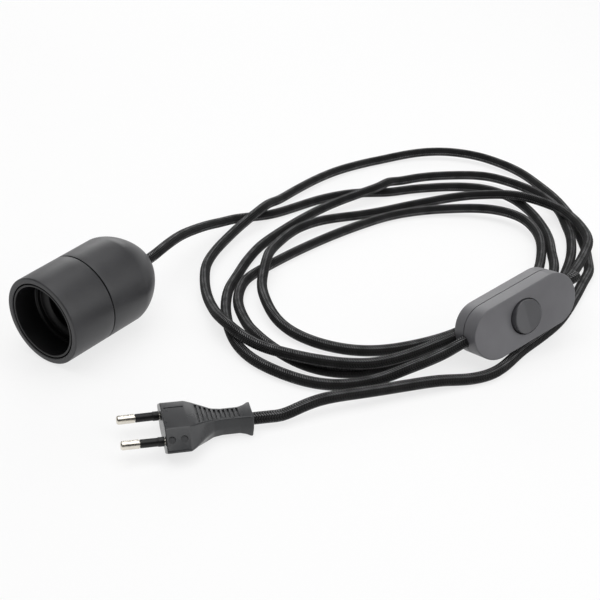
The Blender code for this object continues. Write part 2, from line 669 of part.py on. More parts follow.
def holder_terminals(parent, side, label):
    """A brass clamp with a screw whose foot holds the core."""
    x = side * CLAMP_SPACING / 2
    half = CLAMP_SIZE / 2
    low, high = clamp_low(), clamp_low() + CLAMP_HEIGHT
    clamp = block(f"terminal_clamp_{label}", (x - half, -half, low), (x + half, half, high),
                  brass(), parent)
    round_edges(clamp, 0.0004, 1)
    screw_radius = TERMINAL_SCREW_DIAMETER / 2
    across = Matrix.Translation((x, 0, (low + high) / 2)) @ Matrix.Rotation(math.pi / 2, 4, "X")
    hole = rod(f"screw_hole_{label}", screw_radius + FIT, 0, CLAMP_SIZE, brass(), parent, across)
    cut(clamp, hole)
    core_hole = rod(f"core_hole_{label}", CORE_DIAMETER / 2 + FIT, high - 0.0030, high + CLAMP_SIZE,
                    brass(), parent, Matrix.Translation((x, 0, 0)))
    cut(clamp, core_hole)
    slotted_screw(f"terminal_screw_{label}", screw_radius, CORE_DIAMETER / 2 + 2 * FIT,
                  CORE_DIAMETER / 2 + 2 * FIT + TERMINAL_SCREW_LENGTH, steel(), parent, across)


def cord_end_height():
    """Where the cord stops inside the cap, just below the collar."""
    return COLLAR_FOOT_HEIGHT - 0.0010


def holder_cores(parent):
    top = cord_end_height() - FIT
    foot = clamp_low() + CLAMP_HEIGHT - 0.0024
    for side, label, finish in ((-1, "live", brown_core()), (1, "neutral", blue_core())):
        start = side * CORE_SPACING / 2
        end = side * CLAMP_SPACING / 2
        route = [(start, 0, top), (start * 1.3, 0, top - 0.0012),
                 (end * 0.97, 0, foot + 0.0032), (end, 0, foot + 0.0018), (end, 0, foot)]
        points = smooth_curve(route, 4)
        tube(f"core_{label}_holder", points, CORE_DIAMETER / 2, finish, parent, 2)


def grip_screw(parent, cap):
    """The nylon screw in the collar that holds the cord."""
    height = COLLAR_FOOT_HEIGHT + 0.0030
    place = Matrix.Translation((0, 0, height)) @ Matrix.Rotation(math.pi / 2, 4, "Y")
    radius = GRIP_SCREW_DIAMETER / 2
    inner = CORD_DIAMETER / 2 + FIT
    hole = rod("grip_screw_hole", radius + FIT, inner - 0.0010, COLLAR_RADIUS + 0.0010,
               black_inside(), parent, place)
    cut(cap, hole)
    slotted_screw("cord_grip_screw", radius, inner, COLLAR_RADIUS + 0.0006, black_inside(),
                  parent, place)


def build_holder():
    place = Matrix.Translation((0, -dome_top() / 2, shoulder_radius()))
    place = place @ Matrix.Rotation(-math.pi / 2, 4, "X")
    parent = frame("holder_frame", place)
    holder_skirt(parent)
    cap = holder_cap(parent)
    thread_sleeve(parent)
    terminal_block(parent)
    centre_contact(parent)
    side_contact(parent)
    for side, label in ((-1, "live"), (1, "neutral")):
        holder_terminals(parent, side, label)
    holder_cores(parent)
    grip_screw(parent, cap)
    return place


# Inline switch. Its own frame has X along the body, Y across it, Z out of its face.

def stadium(length, width, inset):
    """The pill outline, moved inwards by inset."""
    radius = width / 2 - inset
    centre = length / 2 - width / 2
    points = []
    for side in (1, -1):
        for k in range(SWITCH_SEGMENTS + 1):
            angle = side * math.pi / 2 - side * math.pi * k / SWITCH_SEGMENTS
            if side < 0:
                angle = -math.pi / 2 - math.pi * k / SWITCH_SEGMENTS
            points.append((side * centre + radius * math.cos(angle), radius * math.sin(angle)))
    return points


def pill_shell(name, levels, parent):
    """A shell whose wall follows the pill outline through (inset, height) levels."""
    bm = bmesh.new()
    loops = []
    for inset, height in levels:
        outline = stadium(SWITCH_LENGTH, SWITCH_WIDTH, inset)
        loops.append([bm.verts.new((x, y, height)) for x, y in outline])
    for first, second in zip(loops, loops[1:]):
        for index in range(len(first)):
            after = (index + 1) % len(first)
            bm.faces.new((first[index], first[after], second[after], second[index]))
    bm.faces.new(loops[0])
    bm.faces.new(loops[-1])
    return add_object(name, finish_mesh(name, bm), grey_switch(), parent)


def switch_seam():
    return -SWITCH_SEAM_BELOW_MIDDLE


def face_height():
    return SWITCH_THICKNESS / 2


def axle_height():
    return face_height() - BUTTON_AXLE_DEPTH


def inner_floor():
    return -SWITCH_THICKNESS / 2 + SWITCH_WALL


def shell_levels(seam, outside, way):
    """Levels of one half shell, from the middle of its inner face round to its outer face."""
    inner = outside - way * SWITCH_WALL
    rounds = []
    for k in range(4):
        angle = math.pi / 2 * k / 3
        rounds.append((SWITCH_FACE_ROUND * (1 - math.cos(angle)),
                       outside - way * SWITCH_FACE_ROUND * (1 - math.sin(angle))))
    return [
        (SWITCH_WALL, inner), (SWITCH_WALL, seam), (SWITCH_SEAM_CHAMFER, seam),
        (0, seam + way * SWITCH_SEAM_CHAMFER), *rounds,
    ]


def cord_notch(name, shell, side, parent):
    """The round opening at an end of the switch, half in each shell."""
    place = Matrix.Translation((side * SWITCH_LENGTH / 2, 0, switch_seam())) @ Matrix.Rotation(math.pi / 2, 4, "Y")
    cutter = rod(name, cord_hole_radius(), -SWITCH_WALL * 4, SWITCH_WALL * 4, grey_switch(), parent, place,
                 segments=24)
    cut(shell, cutter)


def switch_shells(parent):
    front = pill_shell("switch_front_shell",
                       shell_levels(switch_seam() + FIT / 2, face_height(), 1), parent)
    back = pill_shell("switch_back_shell",
                      shell_levels(switch_seam() - FIT / 2, -face_height(), -1), parent)
    for side, label in ((-1, "low"), (1, "high")):
        cord_notch(f"front_notch_{label}", front, side, parent)
        cord_notch(f"back_notch_{label}", back, side, parent)
    hole = rod("button_hole", BUTTON_HOLE_DIAMETER / 2, face_height() - SWITCH_WALL * 2,
               face_height() + SWITCH_WALL, grey_switch(), parent, segments=ROUND_SEGMENTS)
    cut(front, hole)
    return front, back


def lugs_for_axle(parent, front):
    """Two lugs under the face that carry the axle's ends."""
    for side in (-1, 1):
        inner = BUTTON_DIAMETER / 2 + 2 * FIT
        outer = SWITCH_WIDTH / 2 - SWITCH_WALL / 2
        low, high = sorted((side * inner, side * outer))
        lug = block(f"axle_lug_{side + 1}", (-AXLE_DIAMETER * 1.4, low, axle_height() - AXLE_DIAMETER * 1.3),
                    (AXLE_DIAMETER * 1.4, high, face_height() - SWITCH_WALL / 2), grey_switch(), parent)
        cut(front, lug, "UNION")
    place = Matrix.Translation((0, 0, axle_height())) @ Matrix.Rotation(math.pi / 2, 4, "X")
    reach = SWITCH_WIDTH / 2 - SWITCH_WALL * 0.7
    seat = rod("axle_seat", AXLE_DIAMETER / 2 + FIT, -reach, reach, grey_switch(), parent, place)
    cut(front, seat)


def rocker_button(parent):
    """The round button: two planes that meet in a shallow valley, and a foot below."""
    radius = BUTTON_DIAMETER / 2
    top = BUTTON_AXLE_DEPTH
    low = -BUTTON_BODY_BELOW_AXLE
    disc = turned("rocker_button", [
        (0, low), (radius, low), (radius, top + radius), (0, top + radius),
    ], grey_switch(), parent, segments=ROUND_SEGMENTS)
    reach = BUTTON_DIAMETER
    for side, label in ((-1, "left"), (1, "right")):
        bm = bmesh.new()
        rise = math.tan(BUTTON_SLOPE) * reach
        outline = [(-side * 0.0004, top - side * 0.0), (side * reach, top + rise),
                   (side * reach, top + reach * 2), (-side * 0.0004, top + reach * 2)]
        verts = [bm.verts.new((x, -reach, z)) for x, z in outline]
        face = bm.faces.new(verts)
        grown = bmesh.ops.extrude_face_region(bm, geom=[face])
        moved = [item for item in grown["geom"] if isinstance(item, bmesh.types.BMVert)]
        bmesh.ops.translate(bm, verts=moved, vec=(0, reach * 2, 0))
        wedge = add_object(f"button_plane_{label}", finish_mesh("button_plane", bm), grey_switch(),
                           parent, smooth=False)
        cut(disc, wedge)
    foot = block("button_foot", (-FOOT_WIDTH / 2, -FOOT_BREADTH / 2, -FOOT_LENGTH),
                 (FOOT_WIDTH / 2, FOOT_BREADTH / 2, low + 0.0008), grey_switch(), parent)
    cut(disc, foot, "UNION")
    across = Matrix.Rotation(math.pi / 2, 4, "X")
    bore = rod("button_bore", AXLE_DIAMETER / 2 + FIT, -radius * 1.2, radius * 1.2, grey_switch(), parent,
               across)
    cut(disc, bore)
    return disc


def rocker_axle(parent):
    reach = SWITCH_WIDTH / 2 - SWITCH_WALL * 0.7 - FIT
    place = Matrix.Translation((0, 0, axle_height())) @ Matrix.Rotation(math.pi / 2, 4, "X")
    rod("rocker_axle", AXLE_DIAMETER / 2, -reach, reach, steel(), parent, place, segments=12)


def bridge_top():
    """Height of the contact bridge's upper face, from the axle."""
    return -FOOT_LENGTH - FIT


def contact_bridge(parent):
    top = bridge_top()
    half = BRIDGE_LENGTH / 2
    path = [(half, top - BRIDGE_THICKNESS), (-half, top - BRIDGE_THICKNESS)]
    strip("contact_bridge", path[::-1], BRIDGE_THICKNESS, BRIDGE_WIDTH, brass(), parent)


def contact_top():
    """Where a fixed contact meets the bridge's end when that end is down."""
    reach = BRIDGE_LENGTH / 2
    below = BRIDGE_THICKNESS - bridge_top()
    drop = below * math.cos(BUTTON_SLOPE) + reach * math.sin(BUTTON_SLOPE)
    return axle_height() - drop - FIT


def switch_contacts(parent):
    """A fixed contact at each end of the bridge, each with its terminal."""
    width = FIXED_CONTACT_WIDTH
    shift = SWITCH_LINE_Y
    for side, label in ((-1, "line"), (1, "load")):
        x_in = side * (BRIDGE_LENGTH / 2 - 0.0028)
        x_out = side * SWITCH_TERMINAL_X
        low = inner_floor() + FIT
        top = contact_top()
        bar = block(f"fixed_contact_{label}", (min(x_in, x_out), shift - width / 2 - 0.0012, low),
                    (max(x_in, x_out), shift + width / 2 - 0.0012, top), brass(), parent)
        half = SWITCH_TERMINAL_SIZE / 2
        foot = block(f"terminal_body_{label}", (x_out - half, shift - half + 0.0016, low),
                     (x_out + half, shift + half + 0.0016, low + SWITCH_TERMINAL_SIZE), brass(), parent)
        cut(bar, foot, "UNION")
        yield label, x_out, shift + 0.0016, bar
    low = inner_floor() + FIT
    half = SWITCH_TERMINAL_SIZE / 2
    reach = SWITCH_TERMINAL_X
    link = block("neutral_link", (-reach, SWITCH_NEUTRAL_Y - 0.0010, low),
                 (reach, SWITCH_NEUTRAL_Y + 0.0010, low + 0.0015), brass(), parent)
    for side, label in ((-1, "in"), (1, "out")):
        foot = block(f"neutral_body_{label}", (side * reach - half, SWITCH_NEUTRAL_Y - half + 0.0008, low),
                     (side * reach + half, SWITCH_NEUTRAL_Y + half - 0.0006, low + SWITCH_TERMINAL_SIZE),
                     brass(), parent)
        cut(link, foot, "UNION")
        yield f"neutral_{label}", side * reach, SWITCH_NEUTRAL_Y + 0.0001, link


def switch_terminal(label, x, y, body, parent):
    """The screw hole, its screw, and the hole for the core in one terminal."""
    low = inner_floor() + FIT
    top = low + SWITCH_TERMINAL_SIZE
    radius = TERMINAL_SCREW_DIAMETER / 2 - 0.0004
    place = Matrix.Translation((x, y, 0))
    hole = rod(f"hole_{label}", radius + FIT, top - 0.0024, top + 0.0020, brass(), parent, place)
    cut(body, hole)
    slotted_screw(f"switch_screw_{label}", radius, top - 0.0021, top + 0.0009, steel(), parent, place)


def switch_cord_parts(parent):
    """The grips that hold each cord, and the bared cores inside."""
    height = switch_seam()
    top = height - CORD_DIAMETER / 2 - FIT
    for side, label in ((-1, "low"), (1, "high")):
        x = side * SWITCH_GRIP_X
        half = SWITCH_GRIP_LENGTH / 2
        bottom = inner_floor() + FIT
        width = SWITCH_GRIP_WIDTH / 2
        grip = block(f"switch_cord_grip_{label}", (x - half, -width, bottom),
                     (x + half, width, top), black_inside(), parent)
        round_edges(grip, 0.0004, 1)


def cord_end_in_switch():
    return SWITCH_GRIP_X - SWITCH_GRIP_LENGTH / 2


def switch_cores(parent):
    height = switch_seam()
    for side, label in ((-1, "low"), (1, "high")):
        for y_end, kind, finish in ((SWITCH_LINE_Y + 0.0016, "live", brown_core()),
                                    (SWITCH_NEUTRAL_Y, "neutral", blue_core())):
            sign = 1 if kind == "live" else -1
            start = side * (cord_end_in_switch() - FIT)
            y_start = sign * CORE_SPACING / 2
            end = side * (SWITCH_TERMINAL_X + SWITCH_TERMINAL_SIZE / 2 + FIT)
            drop = inner_floor() + FIT + SWITCH_TERMINAL_SIZE * CORE_ENTRY_SHARE
            first = np.array((start, y_start, height))
            last = np.array((end, y_end, drop))
            shares = np.linspace(0, 1, CORE_POINTS)
            eased = shares * shares * (3 - 2 * shares)
            points = first + (last - first) * np.stack([shares, eased, eased], axis=1)
            tube(f"core_{kind}_{label}", points, CORE_DIAMETER / 2, finish, parent, 2)


def housing_screws(parent, front, back):
    """Two screws from the back into bosses under the face."""
    for side, label in ((-1, "low"), (1, "high")):
        x, y = side * HOUSING_SCREW_X, HOUSING_SCREW_Y
        place = Matrix.Translation((x, y, 0))
        boss_radius = HOUSING_BOSS_DIAMETER / 2
        front_boss = rod(f"front_boss_{label}", boss_radius, switch_seam() + BOSS_SETBACK,
                         face_height() - SWITCH_WALL / 2, grey_switch(), parent, place)
        cut(front, front_boss, "UNION")
        back_boss = rod(f"back_boss_{label}", boss_radius, -face_height() + SWITCH_WALL / 2,
                        switch_seam() - BOSS_SETBACK, grey_switch(), parent, place)
        cut(back, back_boss, "UNION")
        shaft = HOUSING_SCREW_DIAMETER / 2
        head = HOUSING_SCREW_HEAD_DIAMETER / 2
        recess = SCREW_HEAD_HEIGHT + 0.0008
        back_face = -face_height()
        tip = back_face + recess + HOUSING_SCREW_LENGTH
        through = turned(f"screw_way_{label}", [
            (0, back_face - 0.001), (head + FIT, back_face - 0.001), (head + FIT, back_face + recess + FIT),
            (shaft + FIT, back_face + recess + FIT), (shaft + FIT, tip + FIT), (0, tip + FIT),
        ], grey_switch(), parent, place, SMALL_SEGMENTS)
        cut(back, through)
        pocket = rod(f"screw_pocket_{label}", shaft + FIT, back_face, tip + FIT, grey_switch(), parent, place)
        cut(front, pocket)
        turn = place @ Matrix.Translation((0, 0, tip)) @ Matrix.Rotation(math.pi, 4, "X")
        length = HOUSING_SCREW_LENGTH + SCREW_HEAD_HEIGHT
        slotted_screw(f"housing_screw_{label}", shaft, 0, length, steel(), parent, turn, head)


def switch_matrix():
    return (
        Matrix.Translation(SWITCH_CENTRE)
        @ Matrix.Rotation(SWITCH_HEADING, 4, "Z")
        @ Matrix.Rotation(SWITCH_LEAN, 4, "X")
        @ Matrix.Rotation(SWITCH_ROLL, 4, "Y")
        @ Matrix.Rotation(math.pi / 2, 4, "X")
    )


def build_switch():
    place = switch_matrix()
    parent = frame("switch_frame", place)
    front, back = switch_shells(parent)
    lugs_for_axle(parent, front)
    tipped = Matrix.Translation((0, 0, axle_height())) @ Matrix.Rotation(BUTTON_SLOPE, 4, "Y")
    rocker = frame("rocker_frame", tipped, parent)
    rocker_button(rocker)
    contact_bridge(rocker)
    rocker_axle(parent)
    for label, x, y, body in switch_contacts(parent):
        switch_terminal(label, x, y, body, parent)
    switch_cord_parts(parent)
    switch_cores(parent)
    housing_screws(parent, front, back)
    return place


# Plug. Its own frame has X towards the pins, Z up, and its origin at the
# bottom of the front face.

def plug_section(flat, waist, half_height):
    side = PLUG_SIDE_FLAT / 2
    right = [(flat, half_height), (waist, side), (waist, -side), (flat, -half_height)]
    return right + [(-y, z) for y, z in right[::-1]]


def plug_middle():
    return PLUG_STATIONS[0][3]


def plug_length():
    return PLUG_STATIONS[-1][0]


def flat_at(distance):
    """Half width and half height of the top flat at a distance behind the front face."""
    stations = np.array(PLUG_STATIONS)
    flat = np.interp(distance, stations[:, 0], stations[:, 1])
    height = np.interp(distance, stations[:, 0], stations[:, 3])
    return float(flat), float(height)


def grip_cutter(parent, side):
    """Ten slots across the handle as one cutter."""
    bm = bmesh.new()
    for k in range(GRIP_SLOTS):
        distance = GRIP_SLOT_START + k * GRIP_SLOT_PITCH
        flat, height = flat_at(distance)
        half = flat - GRIP_SLOT_MARGIN
        box = bmesh.ops.create_cube(bm, size=1.0)["verts"]
        tall = GRIP_SLOT_DEPTH * 2
        bmesh.ops.scale(bm, verts=box, vec=(GRIP_SLOT_WIDTH, half * 2, tall))
        bmesh.ops.translate(bm, verts=box, vec=(-distance, 0, plug_middle() + side * height))
    name = "grip_slots_top" if side > 0 else "grip_slots_bottom"
    return add_object(name, finish_mesh(name, bm), plug_plastic(), parent, smooth=False)


def pin_place(side):
    return (
        Matrix.Translation((0, side * PIN_SPACING / 2, plug_middle()))
        @ Matrix.Rotation(-side * PIN_TOE, 4, "Z")
        @ Matrix.Rotation(math.pi / 2, 4, "Y")
    )


def plug_body(parent):
    bm = bmesh.new()
    loops = []
    for distance, flat, waist, half_height in PLUG_STATIONS:
        section = plug_section(flat, waist, half_height)
        loops.append([bm.verts.new((-distance, y, z + plug_middle())) for y, z in section])
    for first, second in zip(loops, loops[1:]):
        for index in range(len(first)):
            after = (index + 1) % len(first)
            bm.faces.new((first[index], first[after], second[after], second[index]))
    bm.faces.new(loops[0])
    bm.faces.new(loops[-1])
    body = add_object("plug_body", finish_mesh("plug_body", bm), plug_plastic(), parent)
    round_edges(body, PLUG_EDGE_ROUND, 2, 20)
    body.modifiers.new("flat faces", "TRIANGULATE")
    for side in (-1, 1):
        cut(body, grip_cutter(parent, side))
    top = plug_middle() + PLUG_STATIONS[0][3]
    line = block("top_line", (-TOP_LINE_START - TOP_LINE_LENGTH, TOP_LINE_Y - TOP_LINE_WIDTH / 2, top - TOP_LINE_DEPTH),
                 (-TOP_LINE_START, TOP_LINE_Y + TOP_LINE_WIDTH / 2, top + TOP_LINE_DEPTH), plug_plastic(), parent)
    cut(body, line)
    flat, waist, half_height = PLUG_STATIONS[0][1:]
    slope = math.atan2(half_height, waist - flat)
    for number, distance in enumerate(SIDE_MARK_STATIONS):
        middle = ((flat + waist) / 2, half_height / 2)
        place = (
            Matrix.Translation((-distance, middle[0], plug_middle() + middle[1]))
            @ Matrix.Rotation(-slope, 4, "X")
        )
        mark = rod(f"side_mark_{number}", SIDE_MARK_DIAMETER / 2, -SIDE_MARK_DEPTH, SIDE_MARK_DEPTH * 3,
                   plug_plastic(), parent, place)
        cut(body, mark)
    for side in (-1, 1):
        hole = rod(f"pin_hole_{side + 1}", PIN_CORE_DIAMETER / 2 + FIT, -PIN_ROOT_LENGTH - FIT, 0.0020,
                   plug_plastic(), parent, pin_place(side))
        cut(body, hole)
    tail = Matrix.Translation((-plug_length(), 0, plug_middle())) @ Matrix.Rotation(math.pi / 2, 4, "Y")
    socket = rod("cord_socket", cord_hole_radius(), -0.0020, PLUG_CORD_SOCKET, plug_plastic(), parent, tail,
                 segments=24)
    cut(body, socket)
    return body


def plug_pins(parent):
    for side, label in ((-1, "left"), (1, "right")):
        radius = PIN_DIAMETER / 2
        core = PIN_CORE_DIAMETER / 2
        metal = PIN_LENGTH - PIN_METAL_LENGTH
        tip = []
        for k in range(4):
            angle = math.pi / 2 * k / 3
            tip.append((radius - PIN_TIP_ROUND * (1 - math.cos(angle)),
                        PIN_LENGTH - PIN_TIP_ROUND * (1 - math.sin(angle))))
        profile = [(0, -PIN_ROOT_LENGTH), (core, -PIN_ROOT_LENGTH), (core, metal), (radius, metal)]
        turned(f"plug_pin_{label}", profile + tip + [(0, PIN_LENGTH)], nickel(), parent,
               pin_place(side), 20)
        outer = SLEEVE_DIAMETER / 2
        collar = SLEEVE_COLLAR_DIAMETER / 2
        inner = core + FIT
        sleeve = [
            (inner, FIT), (collar, FIT), (collar, SLEEVE_COLLAR_LENGTH),
            (outer, SLEEVE_COLLAR_LENGTH + (collar - outer)), (outer, metal - FIT), (inner, metal - FIT),
        ]
        turned(f"pin_sleeve_{label}", sleeve, black_inside(), parent, pin_place(side), 20)


def plug_matrix():
    lift = plug_length() * math.sin(PLUG_PITCH)
    tail_drop = plug_middle() - PLUG_STATIONS[-2][3]
    lift = max(lift - tail_drop, 0.0)
    return (
        Matrix.Translation((PLUG_FRONT[0], PLUG_FRONT[1], lift))
        @ Matrix.Rotation(PLUG_HEADING, 4, "Z")
        @ Matrix.Rotation(-PLUG_PITCH, 4, "Y")
    )


def build_plug():
    place = plug_matrix()
    parent = frame("plug_frame", place)
    plug_body(parent)
    plug_pins(parent)
    return place


# Cords

def straight_lead(start, way, length):
    """Points along a cord's straight end, which keep its curve straight there."""
    return [start + way * length * k / LEAD_POINTS for k in range(LEAD_POINTS + 1)]


def build_cord(name, points):
    curve = smooth_curve(points)
    curve[:, 2] = np.maximum(curve[:, 2], CORD_DIAMETER / 2)
    tube(name, stations_along(curve, CORD_STATIONS, CORD_BEND_WEIGHT), CORD_DIAMETER / 2, braid())


def build_cords(holder, switch, plug):
    holder_end = holder @ Vector((0, 0, cord_end_height()))
    holder_way = (holder.to_3x3() @ Vector((0, 0, 1))).normalized()
    reach = cord_end_in_switch()
    high_end = switch @ Vector((reach, 0, switch_seam()))
    low_end = switch @ Vector((-reach, 0, switch_seam()))
    along = (switch.to_3x3() @ Vector((1, 0, 0))).normalized()
    tail = plug @ Vector((-plug_length() + PLUG_CORD_SOCKET - FIT, 0, plug_middle()))
    tail_way = (plug.to_3x3() @ Vector((-1, 0, 0))).normalized()
    lead = HOLDER_LENGTH - cord_end_height() + HOLDER_LEAD
    points = straight_lead(holder_end, holder_way, lead)
    points += [Vector(point) * MILLIMETRE for point in HOLDER_CORD_ROUTE]
    lead = SWITCH_LENGTH / 2 - reach + HIGH_END_LEAD
    points += straight_lead(high_end, along, lead)[::-1]
    build_cord("cord_holder_to_switch", points)
    lead = SWITCH_LENGTH / 2 - reach + STRAIGHT_LEAD
    points = straight_lead(low_end, -along, lead)
    points += [Vector(point) * MILLIMETRE for point in PLUG_CORD_ROUTE]
    points += straight_lead(tail, tail_way, PLUG_CORD_SOCKET + STRAIGHT_LEAD)[::-1]
    build_cord("cord_switch_to_plug", points)


def main():
    clear_scene()
    holder = build_holder()
    switch = build_switch()
    plug = build_plug()
    build_cords(holder, switch, plug)


main()
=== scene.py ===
"""Looks of the table lamp cord set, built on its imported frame."""

import json
import math
import bmesh
import bpy
import numpy as np
from mathutils import Matrix, Vector


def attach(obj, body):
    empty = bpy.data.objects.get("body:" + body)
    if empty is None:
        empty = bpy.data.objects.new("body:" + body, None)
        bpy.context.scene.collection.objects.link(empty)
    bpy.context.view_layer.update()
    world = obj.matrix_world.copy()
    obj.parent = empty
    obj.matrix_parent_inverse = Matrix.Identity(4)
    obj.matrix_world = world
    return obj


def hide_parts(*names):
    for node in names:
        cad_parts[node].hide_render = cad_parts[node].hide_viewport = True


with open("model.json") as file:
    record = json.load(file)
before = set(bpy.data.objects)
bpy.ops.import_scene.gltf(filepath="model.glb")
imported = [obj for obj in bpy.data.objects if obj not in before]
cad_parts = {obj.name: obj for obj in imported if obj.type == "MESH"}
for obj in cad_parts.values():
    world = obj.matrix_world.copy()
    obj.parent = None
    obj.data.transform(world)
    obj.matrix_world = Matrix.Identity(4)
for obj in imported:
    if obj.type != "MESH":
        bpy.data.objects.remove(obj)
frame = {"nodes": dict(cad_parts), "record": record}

bl_info = {
    "name": "Table lamp cord set",
    "version": (1, 0, 0),
    "blender": (4, 5, 0),
    "location": "3D View > Sidebar > Cord set",
    "description": "Builds the looks of a table lamp cord set on its packed frame",
    "category": "Object",
}

ROOT = "cord_set"
ROCKER = "rocker"

# Room between neighbouring pieces, in metres
GAP = 0.0003

# A radius below this is a point on the axis
ON_AXIS = 1e-7

# Holder, in metres from its mouth (height 0) to its cord end
MOUTH_RADIUS = 0.0228
SHOULDER_RADIUS = 0.0234
HOLDER_LENGTH = 0.0726
SHOULDER_HEIGHT = 0.0482
DOME_POWER = 1.55
SEAM_HEIGHT = 0.0257
SEAM_WIDER = 0.00015  # on each side, so that the seam shows
SKIRT_BORE = 0.0199
MOUTH_EDGE = 0.0007
SPIGOT_RADIUS = 0.0214
SPIGOT_LENGTH = 0.008
CORD_HOLE = 0.0031
CAP_BORE = 0.0210
CAP_WALL = 0.0022
CAP_LEDGE = 0.0363
CAP_CEILING = 0.067
CAP_STEP = 0.004
NECK_RADIUS = 0.0062
NECK_END = 0.060
NECK_ROOM = 0.0002
LIP_RADIUS = 0.0193
BORE_RADIUS = 0.0182
BORE_DEPTH = 0.0132
LIP_EDGE = 0.0003
LIP_START = 0.0006
LIP_END = 0.0143
STEP_RADIUS = 0.0170
STEP_LENGTH = 0.0022
STEP_EDGE = 0.0002
THREAD_SHELL = 0.01515
THREAD_SHELL_START = 0.0165
THREAD_MOUTH = 0.0150
FLANGE_START = 0.0340
FLANGE_END = 0.0360
THREAD_START = 0.0170
THREAD_END = 0.0330
THREAD_PITCH = 0.00362
THREAD_MEAN = 0.0128
THREAD_WAVE = 0.00055

# Switch
SWITCH_LENGTH = 0.0626
SWITCH_WIDTH = 0.0266
SWITCH_THICKNESS = 0.0163
SWITCH_SEAM = -0.0008
SWITCH_WALL = 0.0018
SWITCH_GROOVE = 0.00012
SWITCH_CENTRE = (0.1799, 0.1044, 0.0216)
SWITCH_TURNS = (64.0, -15.8, -12.0)
SCREW_X = 0.0150
SCREW_Y = 0.0088
SCREW_WAY = 0.0025
SCREW_WAY_CUT = 0.006  # lengths with CUT in their name belong to cutters
END_CUT = 0.012
BUTTON_HOLE = 0.00905
HOLE_EDGE = 0.0004
BUTTON_RADIUS = 0.00855
BUTTON_EDGE = 0.0005
BUTTON_VALLEY = 0.0006
BUTTON_RIM = 0.9
BUTTON_FOOT = 0.0024
AXLE_DEPTH = 0.0022
BUTTON_PROUD = 0.0005
BUTTON_SLOPE = math.radians(7.0)

# Plug. Each station has its distance from the front, half the width of its flat faces,
# half its width at the waist and half its height.
PLUG_STATIONS = (
    (0.0000, 0.0095, 0.0175, 0.0067),
    (0.0105, 0.0094, 0.0175, 0.0067),
    (0.0130, 0.0085, 0.0153, 0.0064),
    (0.0180, 0.0062, 0.0096, 0.0056),
    (0.0220, 0.0046, 0.0059, 0.0047),
    (0.0260, 0.0041, 0.0049, 0.0044),
    (0.0338, 0.0041, 0.0048, 0.0044),
    (0.0365, 0.0047, 0.0057, 0.0048),
    (0.0385, 0.0058, 0.0069, 0.0052),
    (0.0395, 0.0058, 0.0069, 0.0052),
)
PLUG_LIFT = 0.00067
CORD_TAIL = 0.0375
PLUG_FRONT = (0.0865, -0.0498)
PLUG_HEADING = math.radians(229.1)
PLUG_PITCH = math.radians(3.0)
FLANK_EDGE = 0.0005
GRIP_START = 0.0152
GRIP_STEP = 0.0020
GRIP_SLOTS = 10
GRIP_MARGIN = 0.0011
GRIP_WIDTH = 0.001
GRIP_CUT = 0.0014
LINE_SIZE = (0.0084, 0.0006, 0.0006)
LINE_MIDDLE = (-0.0056, -0.0053)
DOT_DISTANCES = (0.0025, 0.0078)
DOT_RADIUS = 0.0016
DOT_CUT = 0.0008
CORD_SOCKET_CUT = 0.008
PIN_SOCKET_RADIUS = 0.0016
PIN_SOCKET_CUT = 0.004
PIN_SPACING = 0.0186
PIN_TOE = math.radians(0.8)
PIN_LENGTH = 0.0190
PIN_METAL = 0.0080
PIN_RADIUS = 0.0020
PIN_CORE = 0.0013
PIN_ROOT = 0.0070
PIN_TIP = 0.0011
PIN_EDGE = 0.0001
SLEEVE_BORE = 0.0016
SLEEVE_RADIUS = 0.0019
COLLAR_RADIUS = 0.0021
COLLAR_LENGTH = 0.0030

# Cords. A lead is the straight run before a cord bends.
CORD_DIAMETER = 0.0056
CORD_STEP = 0.0026
HOLDER_CORD_START = 0.0590
HOLDER_LEAD = 0.0030
SWITCH_CORD_START = 0.0220
SWITCH_LEAD_HIGH = 0.0060
SWITCH_LEAD_LOW = 0.0100
PLUG_LEAD = 0.0140

